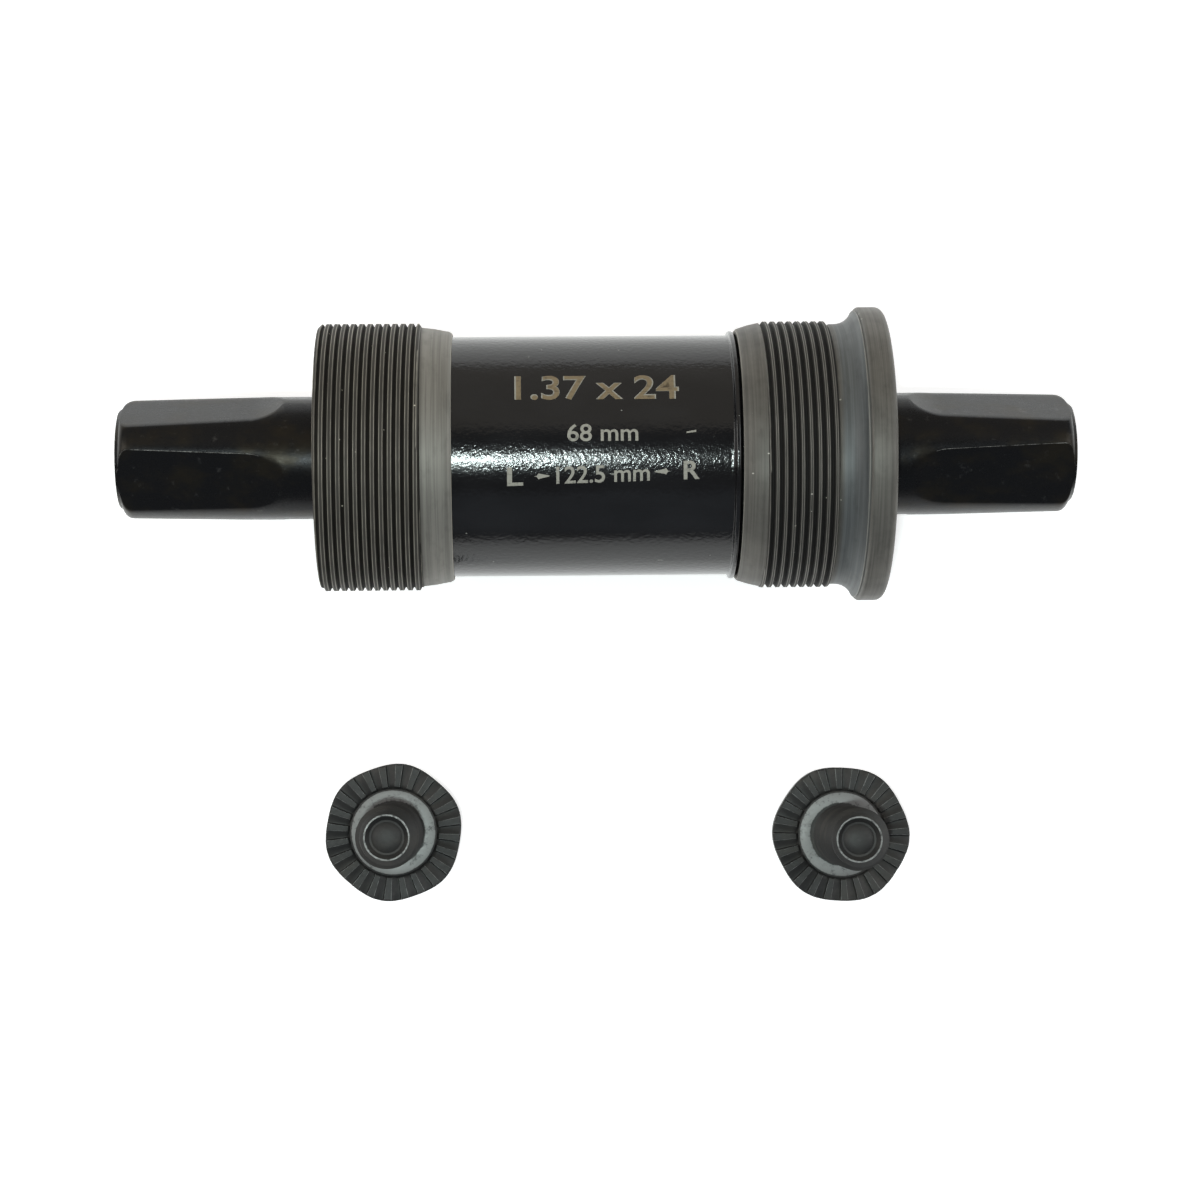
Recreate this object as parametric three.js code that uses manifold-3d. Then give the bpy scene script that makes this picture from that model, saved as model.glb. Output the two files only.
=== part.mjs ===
// Sealed-cartridge bottom bracket for square-taper cranks, with its two crank bolts.
// Millimetres. X runs along the spindle towards the drive side, and Z is up. The origin is on the spindle's
// axis, in the middle of the frame shell that the cups screw into.

import * as THREE from "three";
import { mergeVertices } from "three/addons/utils/BufferGeometryUtils.js";
import Module from "manifold-3d";

const wasm = await Module();
wasm.setup();

// ---- Driving dimensions ----

const TURN_STEPS = 24; // sides of a turned piece
const PRESS_GAP = 0.02; // left between pieces that are pressed together
const SEAT_GAP = 0.1; // left between pieces that rest on each other end to end

const FRAME_SHELL_WIDTH = 68;
const CUP_THREAD_R = 17.25; // crests of the 1.37 inch cup thread, which are a little flattened
const CUP_ROOT_R = 16.65;
const CUP_CHAMFER = 0.5;
const CUP_PITCH = 25.4 / 24;

const SHELL_LEFT_X = -26.5;
const SHELL_RIGHT_X = 28.6;
const SHELL_R = 15.45;
const SHELL_LIP_R = 14.2; // the crimped ends
const SHELL_LIP_THICK = 0.8;
const SHELL_ROUND = 0.4;
const COLLAR_LEFT_X = 17.4; // the bead beside the drive-side cup
const COLLAR_RIGHT_X = 18.3;
const COLLAR_R = 16.0;
const COLLAR_SLOPE = 0.2;

const SPLINE_COUNT = 20; // the tool socket in each cup
const SPLINE_TIP_R = 14.0;
const SPLINE_ROOT_R = 15.2;
const WEB_R = 13.6; // the hole left in each cup behind its socket
const SPLINE_ROOT_SHARE = 0.16; // half a groove's width at its root, as a share of the spline pitch
const SPLINE_TIP_SHARE = 0.28;
const SOCKET_OVERRUN = 1;
const SOCKET_WEB = 0.5;

const LEFT_CUP_FACE_X = -34.9;
const LEFT_CUP_THREAD_END_X = -21.7;
const LEFT_CUP_THREAD_TURNS = 12;
const LEFT_CUP_INNER_X = -17.8;
const LEFT_CUP_SOCKET_DEPTH = 7.4;
const LEFT_CUP_BORE_R = SHELL_R + 0.1; // slides on the shell
const LEFT_CUP_STOP_X = SHELL_LEFT_X - 0.3;

const RIGHT_CUP_INNER_X = 18.5;
const RIGHT_CUP_END_R = 16.2;
const RIGHT_CUP_LAND_R = 17.0;
const RIGHT_CUP_THREAD_START_X = 21.8;
const RIGHT_CUP_THREAD_TURNS = 8;
const RIGHT_CUP_FACE_X = 37.4;
const RIGHT_CUP_SOCKET_DEPTH = 8.2;
const RIGHT_CUP_BORE_R = SHELL_R + 0.05;
const NECK_R = 16.8;
const COVE_R = 2.1; // sweeps up from the neck to the flange
const FLANGE_R = 18.95;
const FLANGE_INNER_ROUND = 0.5;
const FLANGE_OUTER_ROUND = 0.85;
const FLANGE_SEAT_X = FRAME_SHELL_WIDTH / 2;

const SPINDLE_LEFT_X = -60.55;
const SPINDLE_LENGTH = 122.5;
const SPINDLE_R = 7.9;
const SPINDLE_END_R = 6.25;
const SPINDLE_END_CHAMFER = 1.8;
const TAPER_HALF_WIDTH = 6.35; // at the spindle's end: 12.7 across the flats
const TAPER_ANGLE = THREE.MathUtils.degToRad(2);
const TAPER_LENGTH = 16.5;
const TAPER_RUNOUT = 5; // where the cutter lifts out of the flats
const TAPER_TURN = THREE.MathUtils.degToRad(15); // a corner stands this far from +Z towards +Y
const BOLT_HOLE_R = 3.45;
const BOLT_HOLE_DEPTH = 25;
const BOLT_HOLE_MOUTH_R = 4.3;
const JOURNAL_R = 8.5;
const JOURNAL_CHAMFER = 0.5;
const BARREL_R = 9.6;

const LEFT_BEARING_X = -22.0;
const RIGHT_BEARING_X = 24.0;
const BEARING_WIDTH = 7; // 17 x 30 x 7
const BEARING_R = 15.0;
const INNER_RACE_R = 10.55;
const OUTER_RACE_BORE_R = 12.95;
const BALL_COUNT = 11;
const BALL_R = 3.969 / 2; // 5/32 inch
const BALL_CIRCLE_R = 11.75;
const GROOVE_R = 2.1;
const GROOVE_GAP = 0.06; // running clearance at the bottom of a groove
const CAGE_INNER_R = 11.05;
const CAGE_OUTER_R = 12.45;
const CAGE_WIDTH = 4.7;
const CAGE_POCKET_R = 2.1;
const SHIELD_INNER_R = 10.7;
const SHIELD_OUTER_R = 12.9;
const SHIELD_THICK = 0.6;
const SHIELD_OFFSET = 2.95; // from the middle of the bearing to the middle of the shield

const SPACER_BORE_R = 14.0;
const DUST_SEAL_BORE_R = 8.15;
const DUST_SEAL_R = 14.0;
const DUST_SEAL_THICK = 0.9;
const DUST_SEAL_RIM_R = 12.4; // the seal is thicker inside this radius
const DUST_SEAL_STEP = 0.3;

const FLOOR_Z = -FLANGE_R; // the bolts stand on what the flange lies on
const LEFT_BOLT_PLACE = [-26.4, -48.6];
const RIGHT_BOLT_PLACE = [33.0, -49.5];
const LEFT_BOLT_TURN = THREE.MathUtils.degToRad(19.3);
const RIGHT_BOLT_TURN = THREE.MathUtils.degToRad(-3.6);
const BOLT_THREAD_R = 4.0; // M8 x 1
const BOLT_ROOT_R = 3.45;
const BOLT_PITCH = 1;
const BOLT_THREAD_TURNS = 17;
const BOLT_LENGTH = 20;
const BOLT_TIP_R = 3.0;
const BOLT_THREAD_STEPS = 12;
const BOLT_TIP_DISH = 0.7;
const BOLT_FLANGE_R = 9.0;
const BOLT_FLANGE_WAVE = 0.15; // the rim stands proud over each corner of the hex
const BOLT_FLANGE_THICK = 2.2;
const BOLT_FLANGE_CHAMFER = 0.6;
const BOLT_HEAD_HEIGHT = 7.55; // hex and flange together
const BOLT_HEX_HALF_WIDTH = 7; // 14 across the flats
const SERRATION_COUNT = 24;
const SERRATION_INNER_R = 5.8;
const SERRATION_DEPTH = 0.4;
const BOLT_PAD_R = 4.3; // the smooth ring round the thread starts here

// ---- Finishes ----

const BLACK_COAT = { color: 0x1b1a17, roughness: 0.35, metalness: 0.2 };
const GREY_STEEL = { color: 0x6b6a68, roughness: 0.45, metalness: 0.9 };
const BLACK_OXIDE = { color: 0x2a2b2d, roughness: 0.4, metalness: 0.8 };
const BEARING_STEEL = { color: 0xb9bbbd, roughness: 0.2, metalness: 1.0 };
const CAGE_STEEL = { color: 0x9a8f78, roughness: 0.45, metalness: 0.8 };
const SEAL_RUBBER = { color: 0x141414, roughness: 0.8, metalness: 0.0 };

// ---- Building blocks ----

const WELD = 1e-4; // vertices closer than this are one

/** The closed solid of a geometry, for joining and cutting. */
function solidOf(geometry) {
  const bare = geometry.index ? geometry.toNonIndexed() : geometry.clone();
  bare.deleteAttribute("normal");
  bare.deleteAttribute("uv");
  const merged = mergeVertices(bare, WELD);
  const corners = merged.index.array;
  const faces = [];
  for (let i = 0; i < corners.length; i += 3) {
    const [a, b, c] = corners.subarray(i, i + 3);
    if (a !== b && b !== c && c !== a) faces.push(a, b, c);
  }
  return new wasm.Manifold(
    new wasm.Mesh({
      numProp: 3,
      vertProperties: merged.attributes.position.array,
      triVerts: new Uint32Array(faces),
    }),
  );
}

/** The geometry of a solid, with flat faces. */
function geometryOf(solid) {
  const { vertProperties, triVerts } = solid.getMesh();
  const geometry = new THREE.BufferGeometry();
  geometry.setAttribute("position", new THREE.BufferAttribute(vertProperties, 3));
  geometry.setIndex(new THREE.BufferAttribute(triVerts, 1));
  const flat = geometry.toNonIndexed();
  flat.computeVertexNormals();
  return flat;
}

/** Twice the area of a section of [along, radius] points: positive when it runs clockwise. */
function sectionTurn(section) {
  return section.reduce((sum, [along, radius], i) => {
    const [nextAlong, nextRadius] = section[(i + 1) % section.length];
    return sum + along * nextRadius - nextAlong * radius;
  }, 0);
}

/** A piece turned about the X axis from the [along, radius] points of its section, which closes on itself. */
function turned(section, steps = TURN_STEPS) {
  const ordered = sectionTurn(section) < 0 ? section : [...section].reverse();
  const profile = [...ordered, ordered[0]].map(([along, radius]) => new THREE.Vector2(radius, along));
  return new THREE.LatheGeometry(profile, steps).rotateZ(-Math.PI / 2);
}

/** A plain ring about the X axis. */
function ring(fromX, toX, innerR, outerR) {
  return turned([
    [fromX, innerR],
    [fromX, outerR],
    [toX, outerR],
    [toX, innerR],
  ]);
}

/** Crest and root points of a V thread from one place along the axis, one pair for each turn. */
function threadPoints(fromX, pitch, turns, crestR, rootR) {
  return Array.from({ length: turns }, (_, turn) => [
    [fromX + turn * pitch, crestR],
    [fromX + (turn + 0.5) * pitch, rootR],
  ]).flat();
}

/** Points along an arc in an [along, radius] section, both ends included. */
function arcPoints(centreX, centreR, radius, fromAngle, toAngle, steps) {
  return Array.from({ length: steps + 1 }, (_, i) => {
    const angle = fromAngle + ((toAngle - fromAngle) * i) / steps;
    return [centreX + radius * Math.sin(angle), centreR + radius * Math.cos(angle)];
  });
}

/** A named mesh with a finish of its own. */
function piece(name, geometry, finish) {
  const mesh = new THREE.Mesh(geometry, new THREE.MeshStandardMaterial(finish));
  mesh.name = name;
  return mesh;
}

// ---- Cups ----

/** The splined socket that the tool fits, as a cutter from fromX to toX. */
function toolSocket(fromX, toX) {
  const outline = new THREE.Shape();
  const step = (2 * Math.PI) / SPLINE_COUNT;
  const corners = [
    [-SPLINE_TIP_SHARE, SPLINE_TIP_R],
    [-SPLINE_ROOT_SHARE, SPLINE_ROOT_R],
    [SPLINE_ROOT_SHARE, SPLINE_ROOT_R],
    [SPLINE_TIP_SHARE, SPLINE_TIP_R],
  ];
  const points = [];
  for (let spline = 0; spline < SPLINE_COUNT; spline += 1) {
    for (const [share, radius] of corners) {
      const angle = (spline + share) * step;
      points.push(new THREE.Vector2(radius * Math.cos(angle), radius * Math.sin(angle)));
    }
  }
  outline.setFromPoints(points);
  const cutter = new THREE.ExtrudeGeometry(outline, { depth: toX - fromX, bevelEnabled: false });
  return cutter.rotateY(Math.PI / 2).translate(fromX, 0, 0);
}

/** The non-drive cup, which slides on the shell. */
function leftCup() {
  const threadX = LEFT_CUP_FACE_X + CUP_CHAMFER;
  const body = turned([
    [LEFT_CUP_FACE_X, WEB_R],
    [LEFT_CUP_FACE_X, CUP_ROOT_R - CUP_CHAMFER / 2],
    ...threadPoints(threadX, CUP_PITCH, LEFT_CUP_THREAD_TURNS, CUP_THREAD_R, CUP_ROOT_R),
    [LEFT_CUP_THREAD_END_X, CUP_ROOT_R],
    [LEFT_CUP_INNER_X - CUP_CHAMFER, CUP_ROOT_R - CUP_CHAMFER],
    [LEFT_CUP_INNER_X, LEFT_CUP_BORE_R + CUP_CHAMFER / 2],
    [LEFT_CUP_INNER_X, LEFT_CUP_BORE_R],
    [LEFT_CUP_STOP_X, LEFT_CUP_BORE_R],
    [LEFT_CUP_STOP_X, WEB_R],
  ]);
  const socket = toolSocket(LEFT_CUP_FACE_X - SOCKET_OVERRUN, LEFT_CUP_FACE_X + LEFT_CUP_SOCKET_DEPTH);
  return piece("left_cup", geometryOf(solidOf(body).subtract(solidOf(socket))), GREY_STEEL);
}

/** The drive-side cup, with the flange that stops it against the frame. */
function rightCup() {
  const socketEndX = RIGHT_CUP_FACE_X - RIGHT_CUP_SOCKET_DEPTH;
  const threadEndX = RIGHT_CUP_THREAD_START_X + RIGHT_CUP_THREAD_TURNS * CUP_PITCH;
  const innerRoundX = FLANGE_SEAT_X + FLANGE_INNER_ROUND;
  const innerRoundR = FLANGE_R - FLANGE_INNER_ROUND;
  const outerRoundX = RIGHT_CUP_FACE_X - FLANGE_OUTER_ROUND;
  const outerRoundR = FLANGE_R - FLANGE_OUTER_ROUND;
  const right = Math.PI / 2; // the way an arc's start or end points, counted from straight out
  const coveEnd = 1.15 * right;
  const body = turned([
    [RIGHT_CUP_INNER_X, RIGHT_CUP_BORE_R],
    [RIGHT_CUP_INNER_X, RIGHT_CUP_END_R],
    [RIGHT_CUP_THREAD_START_X - CUP_CHAMFER, RIGHT_CUP_LAND_R],
    ...threadPoints(RIGHT_CUP_THREAD_START_X, CUP_PITCH, RIGHT_CUP_THREAD_TURNS, CUP_THREAD_R, CUP_ROOT_R),
    [threadEndX, CUP_ROOT_R],
    ...arcPoints(FLANGE_SEAT_X - COVE_R, NECK_R + COVE_R, COVE_R, Math.PI, coveEnd, 3),
    ...arcPoints(innerRoundX, innerRoundR, FLANGE_INNER_ROUND, -right, 0, 2),
    ...arcPoints(outerRoundX, outerRoundR, FLANGE_OUTER_ROUND, 0, right, 2),
    [RIGHT_CUP_FACE_X, WEB_R],
    [socketEndX - SOCKET_WEB, WEB_R],
    [socketEndX - SOCKET_WEB, RIGHT_CUP_BORE_R],
  ]);
  const socket = toolSocket(socketEndX, RIGHT_CUP_FACE_X + SOCKET_OVERRUN);
  return piece("right_cup", geometryOf(solidOf(body).subtract(solidOf(socket))), GREY_STEEL);
}

// ---- Cartridge shell and what it holds ----

/** The tube that holds both bearings, with its ends crimped over them. */
function cartridgeShell() {
  const boreR = BEARING_R + PRESS_GAP;
  const section = [
    [SHELL_LEFT_X, SHELL_LIP_R],
    [SHELL_LEFT_X, SHELL_R - SHELL_ROUND],
    [SHELL_LEFT_X + SHELL_ROUND, SHELL_R],
    [COLLAR_LEFT_X, SHELL_R],
    [COLLAR_LEFT_X + COLLAR_SLOPE, COLLAR_R],
    [COLLAR_RIGHT_X - COLLAR_SLOPE, COLLAR_R],
    [COLLAR_RIGHT_X, SHELL_R],
    [SHELL_RIGHT_X - SHELL_ROUND, SHELL_R],
    [SHELL_RIGHT_X, SHELL_R - SHELL_ROUND],
    [SHELL_RIGHT_X, SHELL_LIP_R],
    [SHELL_RIGHT_X - SHELL_LIP_THICK, SHELL_LIP_R],
    [SHELL_RIGHT_X - SHELL_LIP_THICK, boreR],
    [SHELL_LEFT_X + SHELL_LIP_THICK, boreR],
    [SHELL_LEFT_X + SHELL_LIP_THICK, SHELL_LIP_R],
  ];
  return piece("cartridge_shell", turned(section), BLACK_COAT);
}

/** The tube that keeps the outer races apart. */
function outerSpacer() {
  const fromX = LEFT_BEARING_X + BEARING_WIDTH / 2 + SEAT_GAP;
  const toX = RIGHT_BEARING_X - BEARING_WIDTH / 2 - SEAT_GAP;
  return piece("outer_spacer", ring(fromX, toX, SPACER_BORE_R, BEARING_R), GREY_STEEL);
}

/**
 * A stepped disc that closes one end of the shell round the spindle.
 * side is -1 on the left and 1 on the right.
 */
function dustSeal(name, bearingX, side) {
  const innerX = bearingX + side * (BEARING_WIDTH / 2 + SEAT_GAP);
  const outerX = innerX + side * DUST_SEAL_THICK;
  const section = [
    [innerX, DUST_SEAL_BORE_R],
    [innerX, DUST_SEAL_R],
    [outerX, DUST_SEAL_R],
    [outerX, DUST_SEAL_RIM_R],
    [outerX + side * DUST_SEAL_STEP, DUST_SEAL_RIM_R - DUST_SEAL_STEP],
    [outerX + side * DUST_SEAL_STEP, DUST_SEAL_BORE_R],
  ];
  return piece(name, turned(section), SEAL_RUBBER);
}

// ---- Bearings ----

const GROOVE_STEPS = 4;

/** The half angle of a groove that starts at a given distance from its centre line. */
function grooveHalfAngle(rise) {
  return Math.acos(rise / GROOVE_R);
}

/** The race that turns with the spindle. */
function innerRace(name, x) {
  const half = BEARING_WIDTH / 2;
  const centreR = BALL_CIRCLE_R - BALL_R - GROOVE_GAP + GROOVE_R;
  const spread = grooveHalfAngle(centreR - INNER_RACE_R);
  const groove = arcPoints(x, centreR, GROOVE_R, Math.PI + spread, Math.PI - spread, GROOVE_STEPS);
  const section = [
    [x - half, JOURNAL_R],
    [x - half, INNER_RACE_R],
    ...groove,
    [x + half, INNER_RACE_R],
    [x + half, JOURNAL_R],
  ];
  return piece(name, turned(section), BEARING_STEEL);
}

/** The race pressed into the shell. */
function outerRace(name, x) {
  const half = BEARING_WIDTH / 2;
  const flatShare = Math.cos(Math.PI / TURN_STEPS); // the middle of a side is nearer the axis than its ends
  const bottomR = (BALL_CIRCLE_R + BALL_R + GROOVE_GAP) / flatShare;
  const centreR = bottomR - GROOVE_R;
  const spread = grooveHalfAngle(OUTER_RACE_BORE_R - centreR);
  const groove = arcPoints(x, centreR, GROOVE_R, -spread, spread, GROOVE_STEPS);
  const section = [
    [x - half, BEARING_R],
    [x - half, OUTER_RACE_BORE_R],
    ...groove,
    [x + half, OUTER_RACE_BORE_R],
    [x + half, BEARING_R],
  ];
  return piece(name, turned(section), BEARING_STEEL);
}

/** The ring with a round pocket for each ball. */
function ballCage(name, x) {
  let cage = solidOf(ring(x - CAGE_WIDTH / 2, x + CAGE_WIDTH / 2, CAGE_INNER_R, CAGE_OUTER_R));
  for (let ball = 0; ball < BALL_COUNT; ball += 1) {
    const pocket = new THREE.CylinderGeometry(CAGE_POCKET_R, CAGE_POCKET_R, 2 * BALL_R, 12);
    pocket.translate(x, BALL_CIRCLE_R, 0).rotateX(ballAngle(ball));
    cage = cage.subtract(solidOf(pocket));
  }
  return piece(name, geometryOf(cage), CAGE_STEEL);
}

/** How far round the axis a ball stands. */
function ballAngle(ball) {
  return (2 * Math.PI * ball) / BALL_COUNT;
}

/** The balls of one bearing. */
function balls(prefix, x) {
  return Array.from({ length: BALL_COUNT }, (_, ball) => {
    const sphere = new THREE.IcosahedronGeometry(BALL_R, 1);
    sphere.translate(x, BALL_CIRCLE_R, 0).rotateX(ballAngle(ball));
    return piece(`${prefix}_${String(ball + 1).padStart(2, "0")}`, sphere, BEARING_STEEL);
  });
}

/** The thin ring that covers one side of a bearing. */
function shield(name, bearingX, side) {
  const middleX = bearingX + side * SHIELD_OFFSET;
  const half = SHIELD_THICK / 2;
  return piece(name, ring(middleX - half, middleX + half, SHIELD_INNER_R, SHIELD_OUTER_R), SEAL_RUBBER);
}

/** One whole bearing, as a group. */
function bearing(side, x) {
  const group = new THREE.Group();
  group.add(
    outerRace(`${side}_outer_race`, x),
    innerRace(`${side}_inner_race`, x),
    ballCage(`${side}_ball_cage`, x),
    ...balls(`${side}_ball`, x),
    shield(`${side}_shield_outboard`, x, Math.sign(x)),
    shield(`${side}_shield_inboard`, x, -Math.sign(x)),
  );
  return group;
}

// ---- Spindle ----

/**
 * The tapered square that the spindle's ends are milled to.
 * Its sides open out past the shaft in the middle.
 */
function taperedSquare() {
  const rightX = SPINDLE_LEFT_X + SPINDLE_LENGTH;
  const overrun = 1;
  const rootHalfWidth = TAPER_HALF_WIDTH + TAPER_LENGTH * Math.tan(TAPER_ANGLE);
  const rise = SPINDLE_R + SEAT_GAP - rootHalfWidth;
  const runout = [0, 0.25, 0.5, 0.75, 1].map((share) => [
    TAPER_LENGTH + share * TAPER_RUNOUT,
    rootHalfWidth + rise * share ** 2,
  ]);
  const halfWidths = [
    [-overrun, TAPER_HALF_WIDTH - overrun * Math.tan(TAPER_ANGLE)],
    ...runout,
    [TAPER_LENGTH + TAPER_RUNOUT + overrun, BARREL_R + overrun],
  ];
  const cornerR = (halfWidth) => halfWidth / Math.cos(Math.PI / 4);
  const left = halfWidths.map(([inwards, halfWidth]) => [SPINDLE_LEFT_X + inwards, cornerR(halfWidth)]);
  const right = halfWidths.map(([inwards, halfWidth]) => [rightX - inwards, cornerR(halfWidth)]);
  const section = [[left[0][0], 0], ...left, ...right.reverse(), [right[right.length - 1][0], 0]];
  return turned(section, 4).rotateX(-TAPER_TURN);
}

/** The spindle, with a blind threaded hole in each end for its crank bolt. */
function spindle() {
  const half = BEARING_WIDTH / 2;
  const leftX = SPINDLE_LEFT_X;
  const rightX = SPINDLE_LEFT_X + SPINDLE_LENGTH;
  const mouth = BOLT_HOLE_MOUTH_R - BOLT_HOLE_R;
  const journalR = JOURNAL_R - PRESS_GAP;
  const section = [
    [leftX + BOLT_HOLE_DEPTH, 0],
    [leftX + BOLT_HOLE_DEPTH, BOLT_HOLE_R],
    [leftX + mouth, BOLT_HOLE_R],
    [leftX, BOLT_HOLE_MOUTH_R],
    [leftX, SPINDLE_END_R],
    [leftX + SPINDLE_END_CHAMFER, SPINDLE_R],
    [LEFT_BEARING_X - half, SPINDLE_R],
    [LEFT_BEARING_X - half + JOURNAL_CHAMFER, journalR],
    [LEFT_BEARING_X + half + SEAT_GAP, journalR],
    [LEFT_BEARING_X + half + SEAT_GAP, BARREL_R],
    [RIGHT_BEARING_X - half - SEAT_GAP, BARREL_R],
    [RIGHT_BEARING_X - half - SEAT_GAP, journalR],
    [RIGHT_BEARING_X + half - JOURNAL_CHAMFER, journalR],
    [RIGHT_BEARING_X + half, SPINDLE_R],
    [rightX - SPINDLE_END_CHAMFER, SPINDLE_R],
    [rightX, SPINDLE_END_R],
    [rightX, BOLT_HOLE_MOUTH_R],
    [rightX - mouth, BOLT_HOLE_R],
    [rightX - BOLT_HOLE_DEPTH, BOLT_HOLE_R],
    [rightX - BOLT_HOLE_DEPTH, 0],
  ];
  const shaft = solidOf(turned(section)).intersect(solidOf(taperedSquare()));
  return piece("spindle", geometryOf(shaft), BLACK_OXIDE);
}

// ---- Crank bolts ----

/** The flange, with radial serrations round a smooth ring. It lies on Z = 0, facing up. */
function boltFlange(turn) {
  const columns = 2 * SERRATION_COUNT;
  const rows = [
    [0, -BOLT_FLANGE_THICK],
    [BOLT_FLANGE_R - BOLT_FLANGE_CHAMFER, -BOLT_FLANGE_THICK],
    [BOLT_FLANGE_R, -BOLT_FLANGE_THICK + BOLT_FLANGE_CHAMFER],
    [BOLT_FLANGE_R, -SERRATION_DEPTH],
    [SERRATION_INNER_R, -SERRATION_DEPTH],
    [BOLT_PAD_R, 0],
    [0, 0],
  ];
  const flange = new THREE.LatheGeometry(
    rows.map(([radius, height]) => new THREE.Vector2(radius, height)),
    columns,
  );
  const position = flange.attributes.position;
  for (let i = 0; i < position.count; i += 1) {
    const radius = Math.hypot(position.getX(i), position.getZ(i));
    const column = Math.floor(i / rows.length) % columns;
    const height = position.getY(i);
    if (height === Math.fround(-SERRATION_DEPTH) && column % 2 === 0) position.setY(i, 0);
    if (radius < SERRATION_INNER_R + WELD) continue;
    const angle = Math.atan2(-position.getZ(i), position.getX(i));
    const wave = 1 + (BOLT_FLANGE_WAVE * Math.cos(6 * (angle - turn))) / BOLT_FLANGE_R;
    position.setX(i, position.getX(i) * wave);
    position.setZ(i, position.getZ(i) * wave);
  }
  return flange.rotateX(Math.PI / 2);
}

/** The shank, standing up from the flange, with its thread as rings and a dished tip. */
function boltShank() {
  const sunkZ = -0.5 * BOLT_FLANGE_THICK;
  const threadZ = BOLT_LENGTH - BOLT_PITCH * (BOLT_THREAD_TURNS + 0.5);
  const section = [
    [sunkZ, 0],
    [sunkZ, BOLT_THREAD_R],
    [threadZ - 0.5 * BOLT_PITCH, BOLT_THREAD_R],
    ...threadPoints(threadZ, BOLT_PITCH, BOLT_THREAD_TURNS, BOLT_THREAD_R, BOLT_ROOT_R),
    [BOLT_LENGTH, BOLT_TIP_R],
    [BOLT_LENGTH - BOLT_TIP_DISH, 0.7 * BOLT_TIP_R],
    [BOLT_LENGTH - BOLT_TIP_DISH, 0],
  ];
  return turned(section, BOLT_THREAD_STEPS).rotateY(-Math.PI / 2);
}

/** The hexagon head, below the flange. */
function boltHex(turn) {
  const outline = new THREE.Shape();
  const cornerR = BOLT_HEX_HALF_WIDTH / Math.cos(Math.PI / 6);
  for (let corner = 0; corner < 6; corner += 1) {
    const angle = turn + (corner * Math.PI) / 3;
    const point = [cornerR * Math.cos(angle), cornerR * Math.sin(angle)];
    if (corner === 0) outline.moveTo(...point);
    else outline.lineTo(...point);
  }
  outline.closePath();
  const depth = BOLT_HEAD_HEIGHT - 0.5 * BOLT_FLANGE_THICK;
  const hex = new THREE.ExtrudeGeometry(outline, { depth, bevelEnabled: false });
  return hex.translate(0, 0, -BOLT_HEAD_HEIGHT);
}

/** A crank bolt, standing on its head. */
function crankBolt(name, [x, y], turn) {
  const head = solidOf(boltFlange(turn)).add(solidOf(boltHex(turn)));
  const bolt = piece(name, geometryOf(head.add(solidOf(boltShank()))), BLACK_OXIDE);
  bolt.position.set(x, y, FLOOR_Z + BOLT_HEAD_HEIGHT);
  return bolt;
}

// ---- Assembly ----

const bottomBracket = new THREE.Group();
bottomBracket.add(
  cartridgeShell(),
  leftCup(),
  rightCup(),
  outerSpacer(),
  spindle(),
  bearing("left", LEFT_BEARING_X),
  bearing("right", RIGHT_BEARING_X),
  dustSeal("left_dust_seal", LEFT_BEARING_X, -1),
  dustSeal("right_dust_seal", RIGHT_BEARING_X, 1),
  crankBolt("left_crank_bolt", LEFT_BOLT_PLACE, LEFT_BOLT_TURN),
  crankBolt("right_crank_bolt", RIGHT_BOLT_PLACE, RIGHT_BOLT_TURN),
);

export default bottomBracket;
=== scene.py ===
"""A sealed-cartridge bottom bracket for square-taper cranks, and its two crank bolts, in a studio.

Pieces are shaped in millimetres about the X axis, which is the spindle's, and scaled to metres when they are done.
Sizes that the frame holds are read from it; the others are fields of the class that makes the piece.
"""

import logging
import math
from collections.abc import Callable, Iterable
from dataclasses import dataclass
from enum import Enum

import bmesh
import bpy
from bmesh.types import BMEdge, BMFace, BMVert
from mathutils import Matrix, Vector


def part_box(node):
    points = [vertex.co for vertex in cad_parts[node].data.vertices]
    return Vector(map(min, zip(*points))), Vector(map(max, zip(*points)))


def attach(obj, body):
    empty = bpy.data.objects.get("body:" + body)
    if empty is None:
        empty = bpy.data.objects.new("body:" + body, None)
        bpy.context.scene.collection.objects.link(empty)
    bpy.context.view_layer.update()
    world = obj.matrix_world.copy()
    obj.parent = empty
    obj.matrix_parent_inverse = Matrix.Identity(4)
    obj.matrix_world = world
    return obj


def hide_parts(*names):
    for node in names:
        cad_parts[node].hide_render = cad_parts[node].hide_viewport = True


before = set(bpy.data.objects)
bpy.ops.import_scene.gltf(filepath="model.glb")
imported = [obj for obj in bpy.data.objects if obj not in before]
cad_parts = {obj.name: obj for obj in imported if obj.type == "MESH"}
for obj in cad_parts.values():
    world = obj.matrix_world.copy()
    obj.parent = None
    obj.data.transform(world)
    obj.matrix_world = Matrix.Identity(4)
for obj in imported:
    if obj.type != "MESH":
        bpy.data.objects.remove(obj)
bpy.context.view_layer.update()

LOG = logging.getLogger("bottom_bracket")

MM = 0.001
ORIGIN = Vector((0.0, 0.0, 0.0))
X_AXIS = Vector((1.0, 0.0, 0.0))
WELD = 0.004  # vertices closer than this, in millimetres, are one
SHARP_ANGLE = math.radians(32)
FLANK_SHADE = 0.6  # painted shade: how dark a thread's flanks are painted, where its root is 1
ROUND_STEPS = 96  # the facets of a turned section

Point = tuple[float, float]  # (along the axis, radius), in millimetres
Placing = Callable[[BMVert], Vector]  # where a vertex goes next


class Side(Enum):
    """The two ends of the unit, as the sign of X."""

    LEFT = -1
    RIGHT = 1

    @property
    def word(self) -> str:
        """The side's name, as node names begin."""
        return self.name.lower()


class Hand(Enum):
    """Which way a thread winds."""

    RIGHT = 1
    LEFT = -1


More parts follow.
